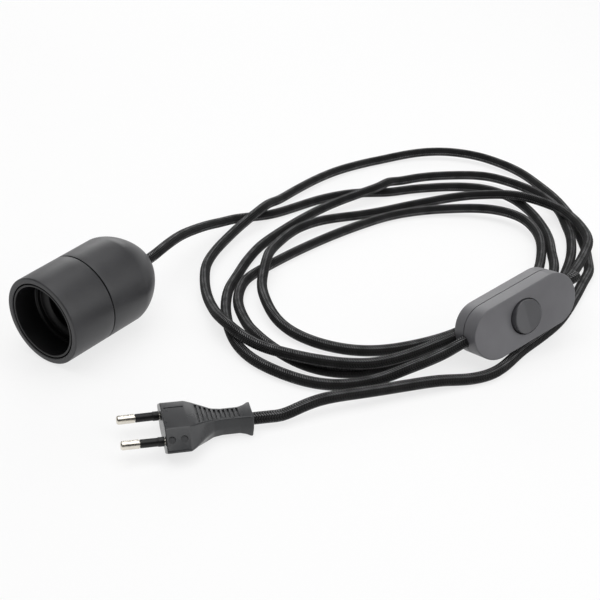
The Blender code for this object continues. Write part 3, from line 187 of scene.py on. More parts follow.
# The routes between the leads, in millimetres
HOLDER_CORD_ROUTE = (
    (-1.7, 51.1, 23.3), (-4.2, 62.2, 22.5), (-6.7, 73.3, 20.9), (-8.8, 84.3, 18.4),
    (-10.6, 95.4, 15.5), (-12.1, 106.3, 12.3), (-12.9, 117.3, 9.1), (-12.6, 128.3, 6.5),
    (-9.1, 139.7, 4.2), (-3.3, 151, 2.9), (1.6, 162.2, 2.9), (5.8, 173.2, 3.2),
    (10.4, 183.8, 3.6), (16.2, 194.1, 3.8), (23.3, 203.7, 3.8), (31.6, 212.4, 3.2),
    (40.4, 220.6, 2.9), (48.7, 229.1, 3.5), (57.6, 236.7, 4.1), (67.3, 243.3, 4.9),
    (77.8, 248.4, 5.8), (89.1, 251.9, 6.3), (100.6, 252.9, 6), (111.4, 250.9, 5.3),
    (121.2, 246.4, 4.5), (130, 240, 3.9), (138.1, 232.3, 3.5), (145.6, 223.6, 3.2), (152, 214, 3),
    (157.6, 203.6, 2.9), (163.5, 193.2, 2.9), (167.9, 182.3, 2.9), (170.9, 170.6, 2.9),
    (172.8, 158.7, 2.9), (172.9, 146.5, 3), (171.7, 134.3, 3.2), (169.7, 122.2, 3.4),
    (166.6, 110.3, 3.6), (162.3, 98.7, 4), (156.9, 87.4, 4.6), (151.4, 76.5, 5),
    (146.5, 65.8, 4.8), (141.6, 55.5, 4.1), (135.4, 46, 3.2), (127, 37.9, 2.9),
    (116.3, 32.8, 2.9), (104.7, 30.8, 3.2), (92.5, 31, 4.3), (80.2, 32.8, 6.1), (70.5, 37.3, 5.5),
    (62.2, 43.3, 3.2), (53.2, 50, 2.9), (44.8, 57.7, 3.2), (38.4, 67.1, 3.6), (34.2, 77.9, 3.7),
    (33.4, 90.1, 3.3), (34.3, 102.4, 3), (35.9, 114.5, 3), (37.8, 126.5, 2.9), (40.2, 138.3, 2.9),
    (43, 150, 2.9), (46.2, 161.5, 2.9), (49.9, 172.9, 2.9), (54.3, 183.8, 3.1),
    (59.9, 194.2, 3.3), (67, 203.6, 3.5), (75.4, 211.8, 3.9), (84.9, 218.7, 4.5),
    (95.2, 224.2, 5.5), (106.5, 227.9, 6.5), (118.2, 229.2, 6.8), (129.2, 227.1, 6.4),
    (138.2, 221.5, 5.5), (145.3, 213.6, 4.9), (150.8, 204.2, 4.3), (155.2, 194, 3.8),
    (158.9, 183.3, 3.5), (161.4, 172, 3.3), (162.5, 160.3, 3.2), (162.4, 148.3, 3.2),
    (161.3, 136.2, 3.3), (159.5, 124.2, 3.4), (157.1, 112.3, 3.5), (154, 100.8, 3.4),
    (149.6, 89.7, 3.4), (143.7, 79.3, 3.4), (136.5, 69.7, 3.2), (128, 61.5, 2.9),
    (117.9, 55.1, 2.9), (106.7, 51.2, 3.1), (95.1, 49.7, 3.4), (83.7, 50.7, 3.8), (73, 54.4, 4.4),
    (63.6, 60.3, 4.9), (54.9, 67.5, 5.3), (47.1, 75.6, 5.9), (40.9, 85.5, 8.2),
    (35.5, 96.1, 10.1), (30.3, 105.7, 7.9), (26.4, 116.1, 6), (24.7, 127.8, 5.9),
    (24.6, 139.7, 5.9), (27.2, 151.6, 5.7), (32, 163.2, 5), (38.2, 174.3, 3.9), (44.8, 185, 3.1),
    (51.2, 195.4, 2.9), (57.5, 205.3, 3.2), (64.2, 214.7, 3.7), (71.4, 223.3, 4.5),
    (79.3, 230.9, 5.7), (88.3, 237.4, 7.1), (98.2, 242.4, 8.5), (108.4, 245.8, 9.9),
    (119.3, 247.5, 10.7), (131, 247.5, 10.6), (141.8, 244.8, 10.8), (151.2, 239.5, 11.1),
    (159.6, 232.4, 11.4), (167.4, 224, 11.6), (173.8, 214.4, 11.5), (177.1, 203, 11.2),
    (179, 191.1, 10.3), (180.4, 179.1, 10.2), (181.9, 167.4, 11.3), (184.3, 157.3, 15.1),
)
PLUG_CORD_ROUTE = (
    (158.5, 57.5, 11.3), (152.8, 48.6, 9.6), (146.8, 40.4, 7.4), (139.2, 32.8, 5.2),
    (129.7, 26.4, 3.6), (118.7, 21.8, 2.9), (106.9, 19.4, 2.9), (94.9, 19, 3), (83, 20.6, 2.9),
    (71.8, 24.7, 2.9), (61.7, 31.1, 3), (52.7, 39, 3), (44.4, 47.8, 2.9), (37.1, 57.4, 2.9),
    (31.1, 67.8, 2.9), (26.9, 79, 2.9), (22.9, 90.1, 3.1), (19.6, 101.2, 3.3), (17.3, 112.5, 3.6),
    (16.5, 124.1, 3.8), (16.7, 135.6, 4.1), (17.4, 147, 4.5), (18.6, 158.2, 4.9),
    (20.4, 169.3, 5.3), (23.1, 180.1, 5.9), (27, 190.7, 6.7), (32.6, 201.5, 8.2),
    (37.4, 212.4, 9.4), (37.6, 222.2, 8.4), (39.8, 232, 6.1), (45.6, 242.1, 5.7),
    (53.3, 251.3, 5.7), (62.2, 259.2, 5.7), (72.1, 265.7, 6), (82.9, 270.2, 6.2),
    (94.2, 272.1, 5.7), (105.7, 271.6, 5.2), (117, 268.9, 5), (127.5, 263.7, 4.9),
    (137, 256.5, 4.9), (144.8, 247.4, 4.9), (151.6, 237.1, 5.2), (158.5, 226.5, 5.5),
    (164.5, 214.9, 5), (169.2, 202.6, 4.1), (172.5, 189.7, 3.3), (175.2, 177.3, 2.9),
    (177.7, 167, 3.7), (178.9, 157, 5.3), (179, 146.9, 7.3), (178.2, 136.7, 9.5),
    (176.3, 126.3, 11.2), (172.6, 115.5, 11.8), (168.6, 104.6, 11.6), (164.2, 93.8, 11.3),
    (159.2, 83.1, 10.9), (154.2, 72.6, 10.5), (149.2, 62.3, 9.8), (143.6, 52.7, 9.2),
    (136.4, 43.9, 8.7), (127.1, 36.8, 8.8), (116.6, 31.3, 9.3), (105.8, 27.7, 9.5),
    (95.7, 26.4, 8.9), (85.7, 26.5, 7.8), (73.4, 27.1, 8.3), (61.3, 29.9, 9.5), (50.7, 34.9, 8.5),
    (41.7, 41.4, 6.1), (32.5, 48.5, 5.1), (23.8, 56.4, 5.2), (16.1, 65.1, 5.4), (9.3, 74.4, 5.6),
    (4.4, 84.8, 5.8), (1, 95.9, 6), (-1.6, 107.2, 6.1), (-3.5, 118.5, 6.6), (-3.7, 130.7, 8.4),
    (-3.6, 143.3, 10.1), (-6, 154.4, 8.4), (-8, 165.8, 5.5), (-8.6, 178.4, 4.6), (-8.5, 191, 4.3),
    (-8, 203.4, 4), (-6.7, 215.8, 3.7), (-4.2, 227.9, 3.5), (-0.5, 239.6, 3.2), (4.4, 250.8, 3.1),
    (10, 261.2, 3.1), (16.3, 270.9, 3.6), (23.6, 279.5, 4.4), (32.4, 286.9, 5.1),
    (42.6, 292.7, 5.5), (53.6, 296.7, 5.4), (65, 298.7, 5), (76.4, 298.5, 4.4), (87.5, 296.4, 4),
    (98.2, 292.5, 3.6), (108.2, 287, 3.2), (117.9, 280.6, 3), (127.4, 273.5, 3),
    (136.4, 265.6, 2.9), (144.7, 257.1, 2.9), (152.4, 247.9, 2.9), (159.2, 238.1, 2.9),
    (165.9, 228.1, 2.9), (172.3, 217.9, 2.9), (177.7, 207.3, 2.9), (182.7, 196.4, 3),
    (184.8, 184.6, 3.1), (186.6, 172.8, 3.1), (188.3, 160.9, 3.1), (189.7, 148.9, 3),
    (190.3, 136.9, 3), (189.6, 124.8, 3.2), (188.1, 112.7, 3.4), (186.3, 100.5, 3.3),
    (185.4, 87.9, 3), (182.9, 76, 2.9), (175.8, 65.4, 3), (167.6, 55.6, 4.6), (159.8, 45.8, 5.3),
    (152.4, 35.9, 5.8), (145, 26.2, 6.3), (137.6, 16.8, 6.8), (130.8, 7.5, 6.8),
    (125.6, -1.8, 5.7),
)

# Stage
SCENE_MIDDLE = (0.08, 0.12, 0.0)
FLOOR_SIZE = 6.0
FLOOR_DROP = 0.0001
FLOOR_WHITE = 0.75
CAMERA_PLACE = (0.34719, -0.31568, 0.29523)
CAMERA_LOOK = (-0.49201, 0.69963, -0.51812)
CAMERA_LENS = 63.93
LIGHTS = (
    ("top_softbox", (0.05, 0.05, 1.2), (1.4, 1.4), 12.0),
    ("side_softbox", (0.9, 0.3, 0.6), (0.8, 0.8), 3.0),
    ("back_softbox", (-0.75, 0.95, 0.5), (0.8, 0.5), 3.2),
)

# Plastics: roughness, and what differs from the usual moulding
PLASTICS = {
    "charcoal_shell": (0.42, {"grain": 700.0, "strength": 0.25}),
    "black_inside": (0.42, {"level": 0.35}),
    "grey_switch": (0.42, {"grain": 800.0, "strength": 0.2}),
    # The button's plastic is a darker copy of the case's grey, which paints shade on the button
    "grey_button": (0.36, {"grain": 800.0, "strength": 0.2}),
    "plug_plastic": (0.30, {"grain": 800.0, "strength": 0.15}),
    "brown_core": (0.4, {}),
    "blue_core": (0.4, {}),
}

# Metals: roughness
METALS = {"brass": 0.28, "nickel": 0.22, "steel": 0.30}

# Braid: how far a stitch slants within its column, the powers that shape it and gather its paleness onto its
# crown, and the share of its paleness that the darker pairs of columns keep. The paleness on the crowns is
# partly the paler yarn and partly a painted highlight
BRAID_LEAN = 0.8
RIDGE_POWER = 1.8
CROWN_POWER = 0.4
PALE_AND_GLINT_POWER = 1.8
DARK_PAIR = 0.14


def settings():
    return bpy.context.scene.cord_set


# Materials

class Nodes:
    """Short ways to add nodes to a tree."""

    def __init__(self, tree):
        self.tree = tree

    def node(self, kind, **values):
        made = self.tree.nodes.new("ShaderNode" + kind)
        for key, value in values.items():
            setattr(made, key, value)
        return made

    def link(self, source, target):
        self.tree.links.new(source, target)

    def math(self, operation, first, second=None, third=None):
        made = self.node("Math", operation=operation)
        for index, value in enumerate((first, second, third)):
            if value is None:
                continue
            if isinstance(value, (int, float)):
                made.inputs[index].default_value = value
            else:
                self.link(value, made.inputs[index])
        return made.outputs[0]

    def map(self, value, start, end, low, high):
        """Maps start to end onto low to high."""
        made = self.node("MapRange")
        for socket, number in (("From Min", start), ("From Max", end), ("To Min", low), ("To Max", high)):
            made.inputs[socket].default_value = number
        self.link(value, made.inputs["Value"])
        return made.outputs["Result"]


class Shader(Nodes):
    """One procedural material."""

    def __init__(self, name, colour, roughness, metallic=0.0):
        self.material = bpy.data.materials.new(name)
        self.material.use_nodes = True
        super().__init__(self.material.node_tree)
        self.shader = self.tree.nodes["Principled BSDF"]
        self.set("Base Color", (*colour, 1.0))
        self.set("Roughness", roughness)
        self.set("Metallic", metallic)

    def set(self, socket, value):
        self.shader.inputs[socket].default_value = value

    def noise(self, scale, detail=3.0, roughness=0.5):
        place = self.node("TexCoord")
        made = self.node("TexNoise")
        made.inputs["Scale"].default_value = scale
        made.inputs["Detail"].default_value = detail
        made.inputs["Roughness"].default_value = roughness
        self.link(place.outputs["Object"], made.inputs["Vector"])
        return made.outputs["Fac"]

    def spread(self, value, low, high):
        """Maps the middle of a noise, where nearly all of it lies, onto low to high."""
        return self.map(value, 0.3, 0.7, low, high)

    def mix(self, share, first, second):
        made = self.node("Mix", data_type="RGBA")
        self.link(share, made.inputs["Factor"])
        for socket, colour in (("A", first), ("B", second)):
            target = [item for item in made.inputs if item.name == socket and item.type == "RGBA"][0]
            target.default_value = (*colour, 1.0)
        return [item for item in made.outputs if item.type == "RGBA"][0]

    def bump(self, height, strength, distance):
        made = self.node("Bump")
        made.inputs["Strength"].default_value = strength
        made.inputs["Distance"].default_value = distance
        self.link(height, made.inputs["Height"])
        self.link(made.outputs["Normal"], self.shader.inputs["Normal"])


def moulded(name, colour, roughness, grain=900.0, strength=0.12, level=0.5):
    """Moulded plastic: a faint mould grain, small changes of gloss and tone."""
    made = Shader(name, colour, roughness)
    fine = made.noise(grain, 2.0)
    slow = made.noise(45.0, 3.0)
    made.link(made.spread(slow, roughness - 0.05, roughness + 0.05), made.shader.inputs["Roughness"])
    lighter = tuple(min(1.0, part * 1.16 + 0.001) for part in colour)
    darker = tuple(part * 0.9 for part in colour)
    made.link(made.mix(made.spread(slow, 0.0, 1.0), darker, lighter), made.shader.inputs["Base Color"])
    made.set("Specular IOR Level", level)
    made.bump(fine, strength, 0.00006)
    return made.material


def metal(name, colour, roughness):
    """Plated metal: its gloss varies with fine wear."""
    made = Shader(name, colour, roughness, 1.0)
    worn = made.noise(320.0, 4.0, 0.6)
    made.link(made.spread(worn, roughness - 0.06, roughness + 0.1), made.shader.inputs["Roughness"])
    darker = tuple(part * 0.82 for part in colour)
    made.link(made.mix(made.spread(worn, 0.0, 1.0), darker, colour), made.shader.inputs["Base Color"])
    made.bump(worn, 0.06, 0.00003)
    return made.material


def braided(name, dark, light):
    """A near-black braid: slanted stitches in columns, every second pair of columns paler. The pale colour
    gathers on each stitch's crown: partly the paler yarn, partly a painted highlight.

    The braid's U runs once round the cord and its V counts stitches along it.
    """
    made = Shader(name, dark, 0.75)
    place = made.node("UVMap", uv_map="braid")
    split = made.node("SeparateXYZ")
    made.link(place.outputs["UV"], split.inputs[0])
    column = made.math("MULTIPLY", split.outputs["X"], float(settings().braid_columns))
    part = made.math("FRACT", column)
    number = made.math("FLOOR", column)
    way = made.math("MULTIPLY_ADD", made.math("MODULO", number, 2.0), 2.0, -1.0)
    lean = made.math("MULTIPLY", made.math("MULTIPLY", part, way), BRAID_LEAN)
    wave = made.math("FRACT", made.math("ADD", split.outputs["Y"], lean))
    ridge = made.math("SINE", made.math("MULTIPLY", wave, math.pi))
    crown = made.math("SINE", made.math("MULTIPLY", part, math.pi))
    height = made.math("MULTIPLY", made.math("POWER", ridge, RIDGE_POWER),
                       made.math("POWER", crown, CROWN_POWER))
    pair = made.math("LESS_THAN", made.math("MODULO", number, 4.0), 1.5)
    paler = made.math("MULTIPLY_ADD", pair, 1 - DARK_PAIR, DARK_PAIR)
    worn = made.noise(160.0, 3.0)
    # The pale colour on the crowns of the stitches: partly the paler yarn, partly a painted highlight
    pale_and_glint = made.math("MULTIPLY", made.math("POWER", height, PALE_AND_GLINT_POWER), made.spread(worn, 0.3, 1.0))
    pale_and_glint = made.math("MULTIPLY", pale_and_glint, paler)
    made.link(made.mix(pale_and_glint, dark, light), made.shader.inputs["Base Color"])
    made.set("Specular IOR Level", 0.2)
    made.set("Sheen Weight", 0.02)
    made.set("Sheen Roughness", 0.4)
    made.bump(height, 1.0, 0.0004)
    return made.material


MATERIALS = {}


def finish(name):
    """The material of a slot, made when it is first wanted. Its colour has the slot's name."""
    if name in MATERIALS:
        return MATERIALS[name]
    title = f"{name}_look"
    if name == "braid":
        made = braided(title, tuple(settings().braid_dark), tuple(settings().braid_light))
    elif name in METALS:
        made = metal(title, tuple(getattr(settings(), name)), METALS[name])
    else:
        roughness, different = PLASTICS[name]
        made = moulded(title, tuple(getattr(settings(), name)), roughness, **different)
    MATERIALS[name] = made
    return made


# Mesh tools

def new_object(name, bm):
    mesh = bpy.data.meshes.new(name)
    bm.to_mesh(mesh)
    bm.free()
    made = bpy.data.objects.new(name, mesh)
    bpy.context.scene.collection.objects.link(made)
    return made


def smooth(mesh, sharp):
    mesh.shade_smooth()
    mesh.set_sharp_from_angle(angle=math.radians(sharp))


def add_piece(name, bm, slot, body, nodes=(), place=None, sharp=32.0, look=None):
    """A piece of the object. Its material is its slot's, or the one named as its look."""
    bmesh.ops.recalc_face_normals(bm, faces=bm.faces)
    made = new_object(name, bm)
    if place is not None:
        made.data.transform(place)
    smooth(made.data, sharp)
    made.data.materials.append(finish(look or slot))
    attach(made, body)
    if nodes:
        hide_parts(*nodes)
    return made


def apply_modifiers(piece):
    graph = bpy.context.evaluated_depsgraph_get()
    mesh = bpy.data.meshes.new_from_object(piece.evaluated_get(graph))
    piece.modifiers.clear()
    piece.data = mesh


def cut_with(piece, bm, name):
    """Cuts everything in bm out of a piece."""
    bmesh.ops.recalc_face_normals(bm, faces=bm.faces)
    cutter = new_object(name, bm)
    modifier = piece.modifiers.new(name, "BOOLEAN")
    modifier.operation = "DIFFERENCE"
    modifier.solver = "EXACT"
    modifier.object = cutter
    apply_modifiers(piece)
    bpy.data.objects.remove(cutter)


def add_rod(bm, radius, length, place, segments=48):
    """A round rod for a cutter, about the middle of its place and along its Z."""
    bmesh.ops.create_cone(bm, cap_ends=True, segments=segments, radius1=radius, radius2=radius,
                          depth=length, matrix=place)


def add_box(bm, size, middle):
    """A box for a cutter."""
    box = bmesh.ops.create_cube(bm, size=1.0)["verts"]
    bmesh.ops.scale(bm, verts=box, vec=size)
    bmesh.ops.translate(bm, verts=box, vec=middle)


def circle(bm, radius, height, angles):
    return [bm.verts.new((radius * math.cos(angle), radius * math.sin(angle), height)) for angle in angles]


def turns(count):
    return [2 * math.pi * k / count for k in range(count)]


def ring_faces(bm, first, second):
    count = len(first)
    for index in range(count):
        after = (index + 1) % count
        bm.faces.new((first[index], first[after], second[after], second[index]))


def lathe(profile, segments=144):
    """Turns a closed profile of (radius, height) round Z; ends on the axis are closed with a fan."""
    bm = bmesh.new()
    loops = []
    for radius, height in profile:
        if radius <= ON_AXIS:
            loops.append([bm.verts.new((0, 0, height))])
        else:
            loops.append(circle(bm, radius, height, turns(segments)))
    pairs = list(zip(loops, loops[1:]))
    if len(loops[0]) > 1 and len(loops[-1]) > 1:
        pairs.append((loops[-1], loops[0]))
    for first, second in pairs:
        if len(first) == 1 or len(second) == 1:
            tip, ring = (first[0], second) if len(first) == 1 else (second[0], first)
            add_fan(bm, tip, ring)
        else:
            ring_faces(bm, first, second)
    return bm


def add_fan(bm, tip, ring):
    for index, vert in enumerate(ring):
        bm.faces.new((tip, vert, ring[(index + 1) % len(ring)]))


def arc(centre, radius, start, end, count=6):
    """Points on an arc in the (radius, height) plane, angles in degrees."""
    found = []
    for k in range(count + 1):
        angle = math.radians(start + (end - start) * k / count)
        found.append((centre[0] + radius * math.cos(angle), centre[1] + radius * math.sin(angle)))
    return found


def rotation(angles):
    x, y, z = angles
    return Matrix.Rotation(x, 4, "Z") @ Matrix.Rotation(y, 4, "X") @ Matrix.Rotation(z, 4, "Y")


def dome_top():
    """Where the dome ends, at the edge of the cord hole."""
    share = (1 - (CORD_HOLE / SHOULDER_RADIUS) ** DOME_POWER) ** (1 / DOME_POWER)
    return SHOULDER_HEIGHT + share * (HOLDER_LENGTH - SHOULDER_HEIGHT)


def holder_place():
    return (
        Matrix.Translation((0, -dome_top() / 2, SHOULDER_RADIUS))
        @ Matrix.Rotation(-math.pi / 2, 4, "X")
    )


def switch_place():
    return (
        Matrix.Translation(SWITCH_CENTRE)
        @ rotation([math.radians(turn) for turn in SWITCH_TURNS])
        @ Matrix.Rotation(math.pi / 2, 4, "X")
    )


def plug_middle():
    return PLUG_STATIONS[0][3]


def plug_length():
    return PLUG_STATIONS[-1][0]


def plug_place():
    return (
        Matrix.Translation((*PLUG_FRONT, PLUG_LIFT))
        @ Matrix.Rotation(PLUG_HEADING, 4, "Z")
        @ Matrix.Rotation(-PLUG_PITCH, 4, "Y")
    )


# Holder

def outer_radius(height):
    if height <= SHOULDER_HEIGHT:
        return MOUTH_RADIUS + (SHOULDER_RADIUS - MOUTH_RADIUS) * height / SHOULDER_HEIGHT
    share = min((height - SHOULDER_HEIGHT) / (HOLDER_LENGTH - SHOULDER_HEIGHT), 1.0)
    return SHOULDER_RADIUS * (1 - share ** DOME_POWER) ** (1 / DOME_POWER)


def build_skirt():
    seam = SEAM_HEIGHT
    edge = settings().seam_edge
    top = seam - SEAM_WIDER
    profile = [(SKIRT_BORE + GAP, 0.0)]
    profile += arc((MOUTH_RADIUS - MOUTH_EDGE, MOUTH_EDGE), MOUTH_EDGE, -90, 0, 6)
    profile += [(outer_radius(seam * k / 4), seam * k / 4) for k in (1, 2, 3)]
    profile += arc((outer_radius(seam) - edge, top - edge), edge, 0, 90, 5)
    profile += [
        (SPIGOT_RADIUS, top), (SPIGOT_RADIUS, seam + SPIGOT_LENGTH), (SKIRT_BORE, seam + SPIGOT_LENGTH),
        (SKIRT_BORE, GAP),
    ]
    add_piece("skirt_look", lathe(profile), "charcoal_shell", ROOT, ["holder_skirt"], holder_place())


def build_cap():
    """The dome, with a neck inside it round the cord."""
    low = SEAM_HEIGHT + GAP + SEAM_WIDER
    edge = settings().seam_edge
    profile = [(SPIGOT_RADIUS + GAP, low)]
    profile += arc((outer_radius(low) - edge, low + edge), edge, -90, 0, 5)
    profile += [(outer_radius(low + CAP_STEP * k), low + CAP_STEP * k) for k in (1, 2, 3, 4)]
    dome_steps = 40
    for k in range(dome_steps + 1):
        share = math.sin(math.pi / 2 * k / dome_steps)
        height = SHOULDER_HEIGHT + (dome_top() - SHOULDER_HEIGHT) * share
        profile.append((outer_radius(height), height))
    profile += [(CORD_HOLE, NECK_END), (NECK_RADIUS, NECK_END), (NECK_RADIUS, CAP_CEILING)]
    inside_steps = 16
    for k in range(inside_steps, -1, -1):
        height = SHOULDER_HEIGHT + (CAP_CEILING - SHOULDER_HEIGHT) * k / inside_steps
        radius = min(outer_radius(height + CAP_WALL / 2) - CAP_WALL, CAP_BORE)
        if radius > NECK_RADIUS + NECK_ROOM:
            profile.append((radius, height))
    profile += [(CAP_BORE, CAP_LEDGE), (SPIGOT_RADIUS + GAP, CAP_LEDGE)]
    add_piece("cap_look", lathe(profile), "charcoal_shell", ROOT, ["holder_cap"], holder_place())


def build_sleeve():
    """The inner sleeve, with its lip, bore, step and round lamp thread."""
    segments = 128
    thread_rings = 110
    rings = []

    def plain(*points):
        for radius, height in points:
            rings.append([(radius, height)] * segments)

    plain((THREAD_SHELL, FLANGE_START), (THREAD_SHELL, THREAD_SHELL_START))
    plain((LIP_RADIUS, LIP_END), (LIP_RADIUS, LIP_START))
    plain(*arc((LIP_RADIUS - LIP_EDGE, LIP_START), LIP_EDGE, 0, -90, 3)[1:])
    plain(*arc((BORE_RADIUS + LIP_EDGE, LIP_START), LIP_EDGE, 270, 180, 3))
    plain((BORE_RADIUS, BORE_DEPTH - LIP_EDGE), (BORE_RADIUS - LIP_EDGE, BORE_DEPTH))
    plain((STEP_RADIUS + STEP_EDGE, BORE_DEPTH), (STEP_RADIUS, BORE_DEPTH + STEP_EDGE))
    step_end = BORE_DEPTH + STEP_LENGTH
    plain((STEP_RADIUS, step_end - STEP_EDGE), (STEP_RADIUS - STEP_EDGE, step_end))
    plain((THREAD_MOUTH, step_end))
    for k in range(thread_rings):
        height = THREAD_START + (THREAD_END - THREAD_START) * k / (thread_rings - 1)
        fade = max(min(1.0, (height - THREAD_START) / THREAD_PITCH, (THREAD_END - height) / THREAD_PITCH), 0)
        ring = []
        for index in range(segments):
            turned = height / THREAD_PITCH - index / segments
            ring.append((THREAD_MEAN + THREAD_WAVE * fade * math.cos(2 * math.pi * turned), height))
        rings.append(ring)
    plain((THREAD_MEAN, FLANGE_END), (SPIGOT_RADIUS, FLANGE_END), (SPIGOT_RADIUS, FLANGE_START))
    bm = bmesh.new()
    loops = []
    for ring in rings:
        loops.append([
            bm.verts.new((radius * math.cos(angle), radius * math.sin(angle), height))
            for (radius, height), angle in zip(ring, turns(segments))
        ])
    for first, second in zip(loops, loops[1:] + loops[:1]):
        ring_faces(bm, first, second)
    add_piece("sleeve_look", bm, "black_inside", ROOT, ["thread_sleeve"], holder_place(), 40.0)


# Switch

def stadium(inset, segments=40, spans=8):
    """The outline of the switch's case, from the right end round by way of the lower side."""
    radius = SWITCH_WIDTH / 2 - inset
    centre = (SWITCH_LENGTH - SWITCH_WIDTH) / 2
    points = []
    for side in (1, -1):
        for k in range(segments + 1):
            angle = side * math.pi / 2 - math.pi * k / segments
            points.append((side * centre + radius * math.cos(angle), radius * math.sin(angle)))
        points += [(side * centre * (1 - 2 * k / spans), -side * radius) for k in range(1, spans)]
    return points


def pill_half(seam, outside, way, hole=None):
    """Half of the switch's case. Its levels run from the inside round to the face."""
    bm = bmesh.new()
    inner = outside - way * SWITCH_WALL
    levels = [
        (SWITCH_WALL, inner), (SWITCH_WALL, seam), (SWITCH_GROOVE, seam), (0.0, seam + way * SWITCH_GROOVE),
    ]
    edge = settings().switch_edge
    edge_steps = 8
    for k in range(edge_steps + 1):
        angle = math.pi / 2 * k / edge_steps
        levels.append((edge * (1 - math.cos(angle)), outside - way * edge * (1 - math.sin(angle))))
    loops = [[bm.verts.new((x, y, z)) for x, y in stadium(inset)] for inset, z in levels]
    for first, second in zip(loops, loops[1:]):
        ring_faces(bm, first, second)
    if hole is None:
        bm.faces.new(loops[0])
        bm.faces.new(loops[-1])
        return bm
    angles = [math.atan2(y, x) for x, y in stadium(0)]
    previous = loops[-1]
    quarter = HOLE_EDGE / 4
    for radius, z in ((hole + HOLE_EDGE, outside), (hole + quarter, outside - quarter),
                      (hole, outside - HOLE_EDGE), (hole, inner)):
        loop = circle(bm, radius, z, angles)
        ring_faces(bm, previous, loop)
        previous = loop
    ring_faces(bm, previous, loops[0])
    return bm


def open_ends(piece, name):
    """Opens both ends of a case half for the cord."""
    bm = bmesh.new()
    for side in (-1, 1):
        place = (
            Matrix.Translation((side * SWITCH_LENGTH / 2, 0, SWITCH_SEAM))
            @ Matrix.Rotation(math.pi / 2, 4, "Y")
        )
        add_rod(bm, CORD_HOLE, END_CUT, switch_place() @ place)
    cut_with(piece, bm, name)


def screw_ways(back):
    """Two holes in the back, over the heads of the housing screws."""
    bm = bmesh.new()
    for side in (-1, 1):
        place = Matrix.Translation((side * SCREW_X, SCREW_Y, -SWITCH_THICKNESS / 2))
        add_rod(bm, SCREW_WAY, SCREW_WAY_CUT, switch_place() @ place)
    cut_with(back, bm, "screw_ways")


def build_switch_case():
    place = switch_place()
    half = SWITCH_THICKNESS / 2
    slit = settings().switch_slit / 2
    front = add_piece("switch_front_look", pill_half(SWITCH_SEAM + slit, half, 1, BUTTON_HOLE),
                      "grey_switch", ROOT, ["switch_front_shell"], place, 30.0)
    open_ends(front, "front_openings")
    back = add_piece("switch_back_look", pill_half(SWITCH_SEAM - slit, -half, -1),
                     "grey_switch", ROOT, ["switch_back_shell"], place, 30.0)
    open_ends(back, "back_openings")
    screw_ways(back)


def button_top(x, y):
    """The height of the button's face, in its own frame."""
    rise = math.tan(BUTTON_SLOPE) * (math.hypot(x, BUTTON_VALLEY) - BUTTON_VALLEY)
    near = math.hypot(x, y) - (BUTTON_RADIUS - BUTTON_EDGE)
    fall = BUTTON_EDGE - math.sqrt(max(BUTTON_EDGE ** 2 - max(near, 0.0) ** 2, 0.0))
    return AXLE_DEPTH + BUTTON_PROUD + rise - fall


def build_button():
    """The rocker button: two planes meeting in a soft valley, with a rounded rim."""
    segments = 128
    rings = 40
    bm = bmesh.new()
    loops = []
    for ring in range(1, rings + 1):
        share = ring / rings
        if share >= BUTTON_RIM:
            rim = 1 - BUTTON_RIM
            share = BUTTON_RIM + rim * math.sin((share - BUTTON_RIM) / rim * math.pi / 2)
        loop = []
        for angle in turns(segments):
            x = BUTTON_RADIUS * share * math.cos(angle)
            y = BUTTON_RADIUS * share * math.sin(angle)
            loop.append(bm.verts.new((x, y, button_top(x, y))))
        loops.append(loop)
    add_fan(bm, bm.verts.new((0, 0, button_top(0, 0))), loops[0])
    foot = [bm.verts.new((vert.co.x, vert.co.y, -BUTTON_FOOT)) for vert in loops[-1]]
    for first, second in zip(loops, loops[1:] + [foot]):
        ring_faces(bm, first, second)
    bm.faces.new(foot)
    tipped = (
        switch_place()
        @ Matrix.Translation((0, 0, SWITCH_THICKNESS / 2 - AXLE_DEPTH))
        @ Matrix.Rotation(BUTTON_SLOPE, 4, "Y")
    )
    # The button takes a darker copy of the case's grey, which paints shade on it
    add_piece("rocker_button_look", bm, "grey_switch", ROCKER, ["rocker_button"], tipped, 40.0,
              "grey_button")


# Plug

def plug_section(flat, waist, half_height):
    right = [(flat, half_height), (waist, FLANK_EDGE), (waist, -FLANK_EDGE), (flat, -half_height)]
    return right + [(-y, z) for y, z in right[::-1]]


def build_plug_body():
    """The plug's body. It is cut in its own frame and put in place at the end."""
    bm = bmesh.new()
    middle = plug_middle()
    loops = []
    for distance, flat, waist, half_height in PLUG_STATIONS:
        section = plug_section(flat, waist, half_height)
        loops.append([bm.verts.new((-distance, y, z + middle)) for y, z in section])
    for first, second in zip(loops, loops[1:]):
        ring_faces(bm, first, second)
    bm.faces.new(loops[0])
    bm.faces.new(loops[-1])
    body = add_piece("plug_body_look", bm, "plug_plastic", ROOT, ["plug_body"], None, 30.0)
    rounded = body.modifiers.new("rounded edges", "BEVEL")
    rounded.width = settings().plug_edge
    rounded.segments = 5
    rounded.limit_method = "ANGLE"
    rounded.angle_limit = math.radians(14)
    body.modifiers.new("flat faces", "TRIANGULATE")
    apply_modifiers(body)
    cut_grip(body)
    cut_marks(body)
    cut_sockets(body)
    body.data.transform(plug_place())
    smooth(body.data, 30.0)


def cut_grip(body):
    """Rows of slots on the two flat faces."""
    stations = np.array(PLUG_STATIONS)
    for side in (-1, 1):
        bm = bmesh.new()
        for k in range(GRIP_SLOTS):
            distance = GRIP_START + k * GRIP_STEP
            flat = float(np.interp(distance, stations[:, 0], stations[:, 1])) - GRIP_MARGIN
            height = float(np.interp(distance, stations[:, 0], stations[:, 3]))
            add_box(bm, (GRIP_WIDTH, flat * 2, GRIP_CUT), (-distance, 0, plug_middle() + side * height))
        cut_with(body, bm, "grip_slots")


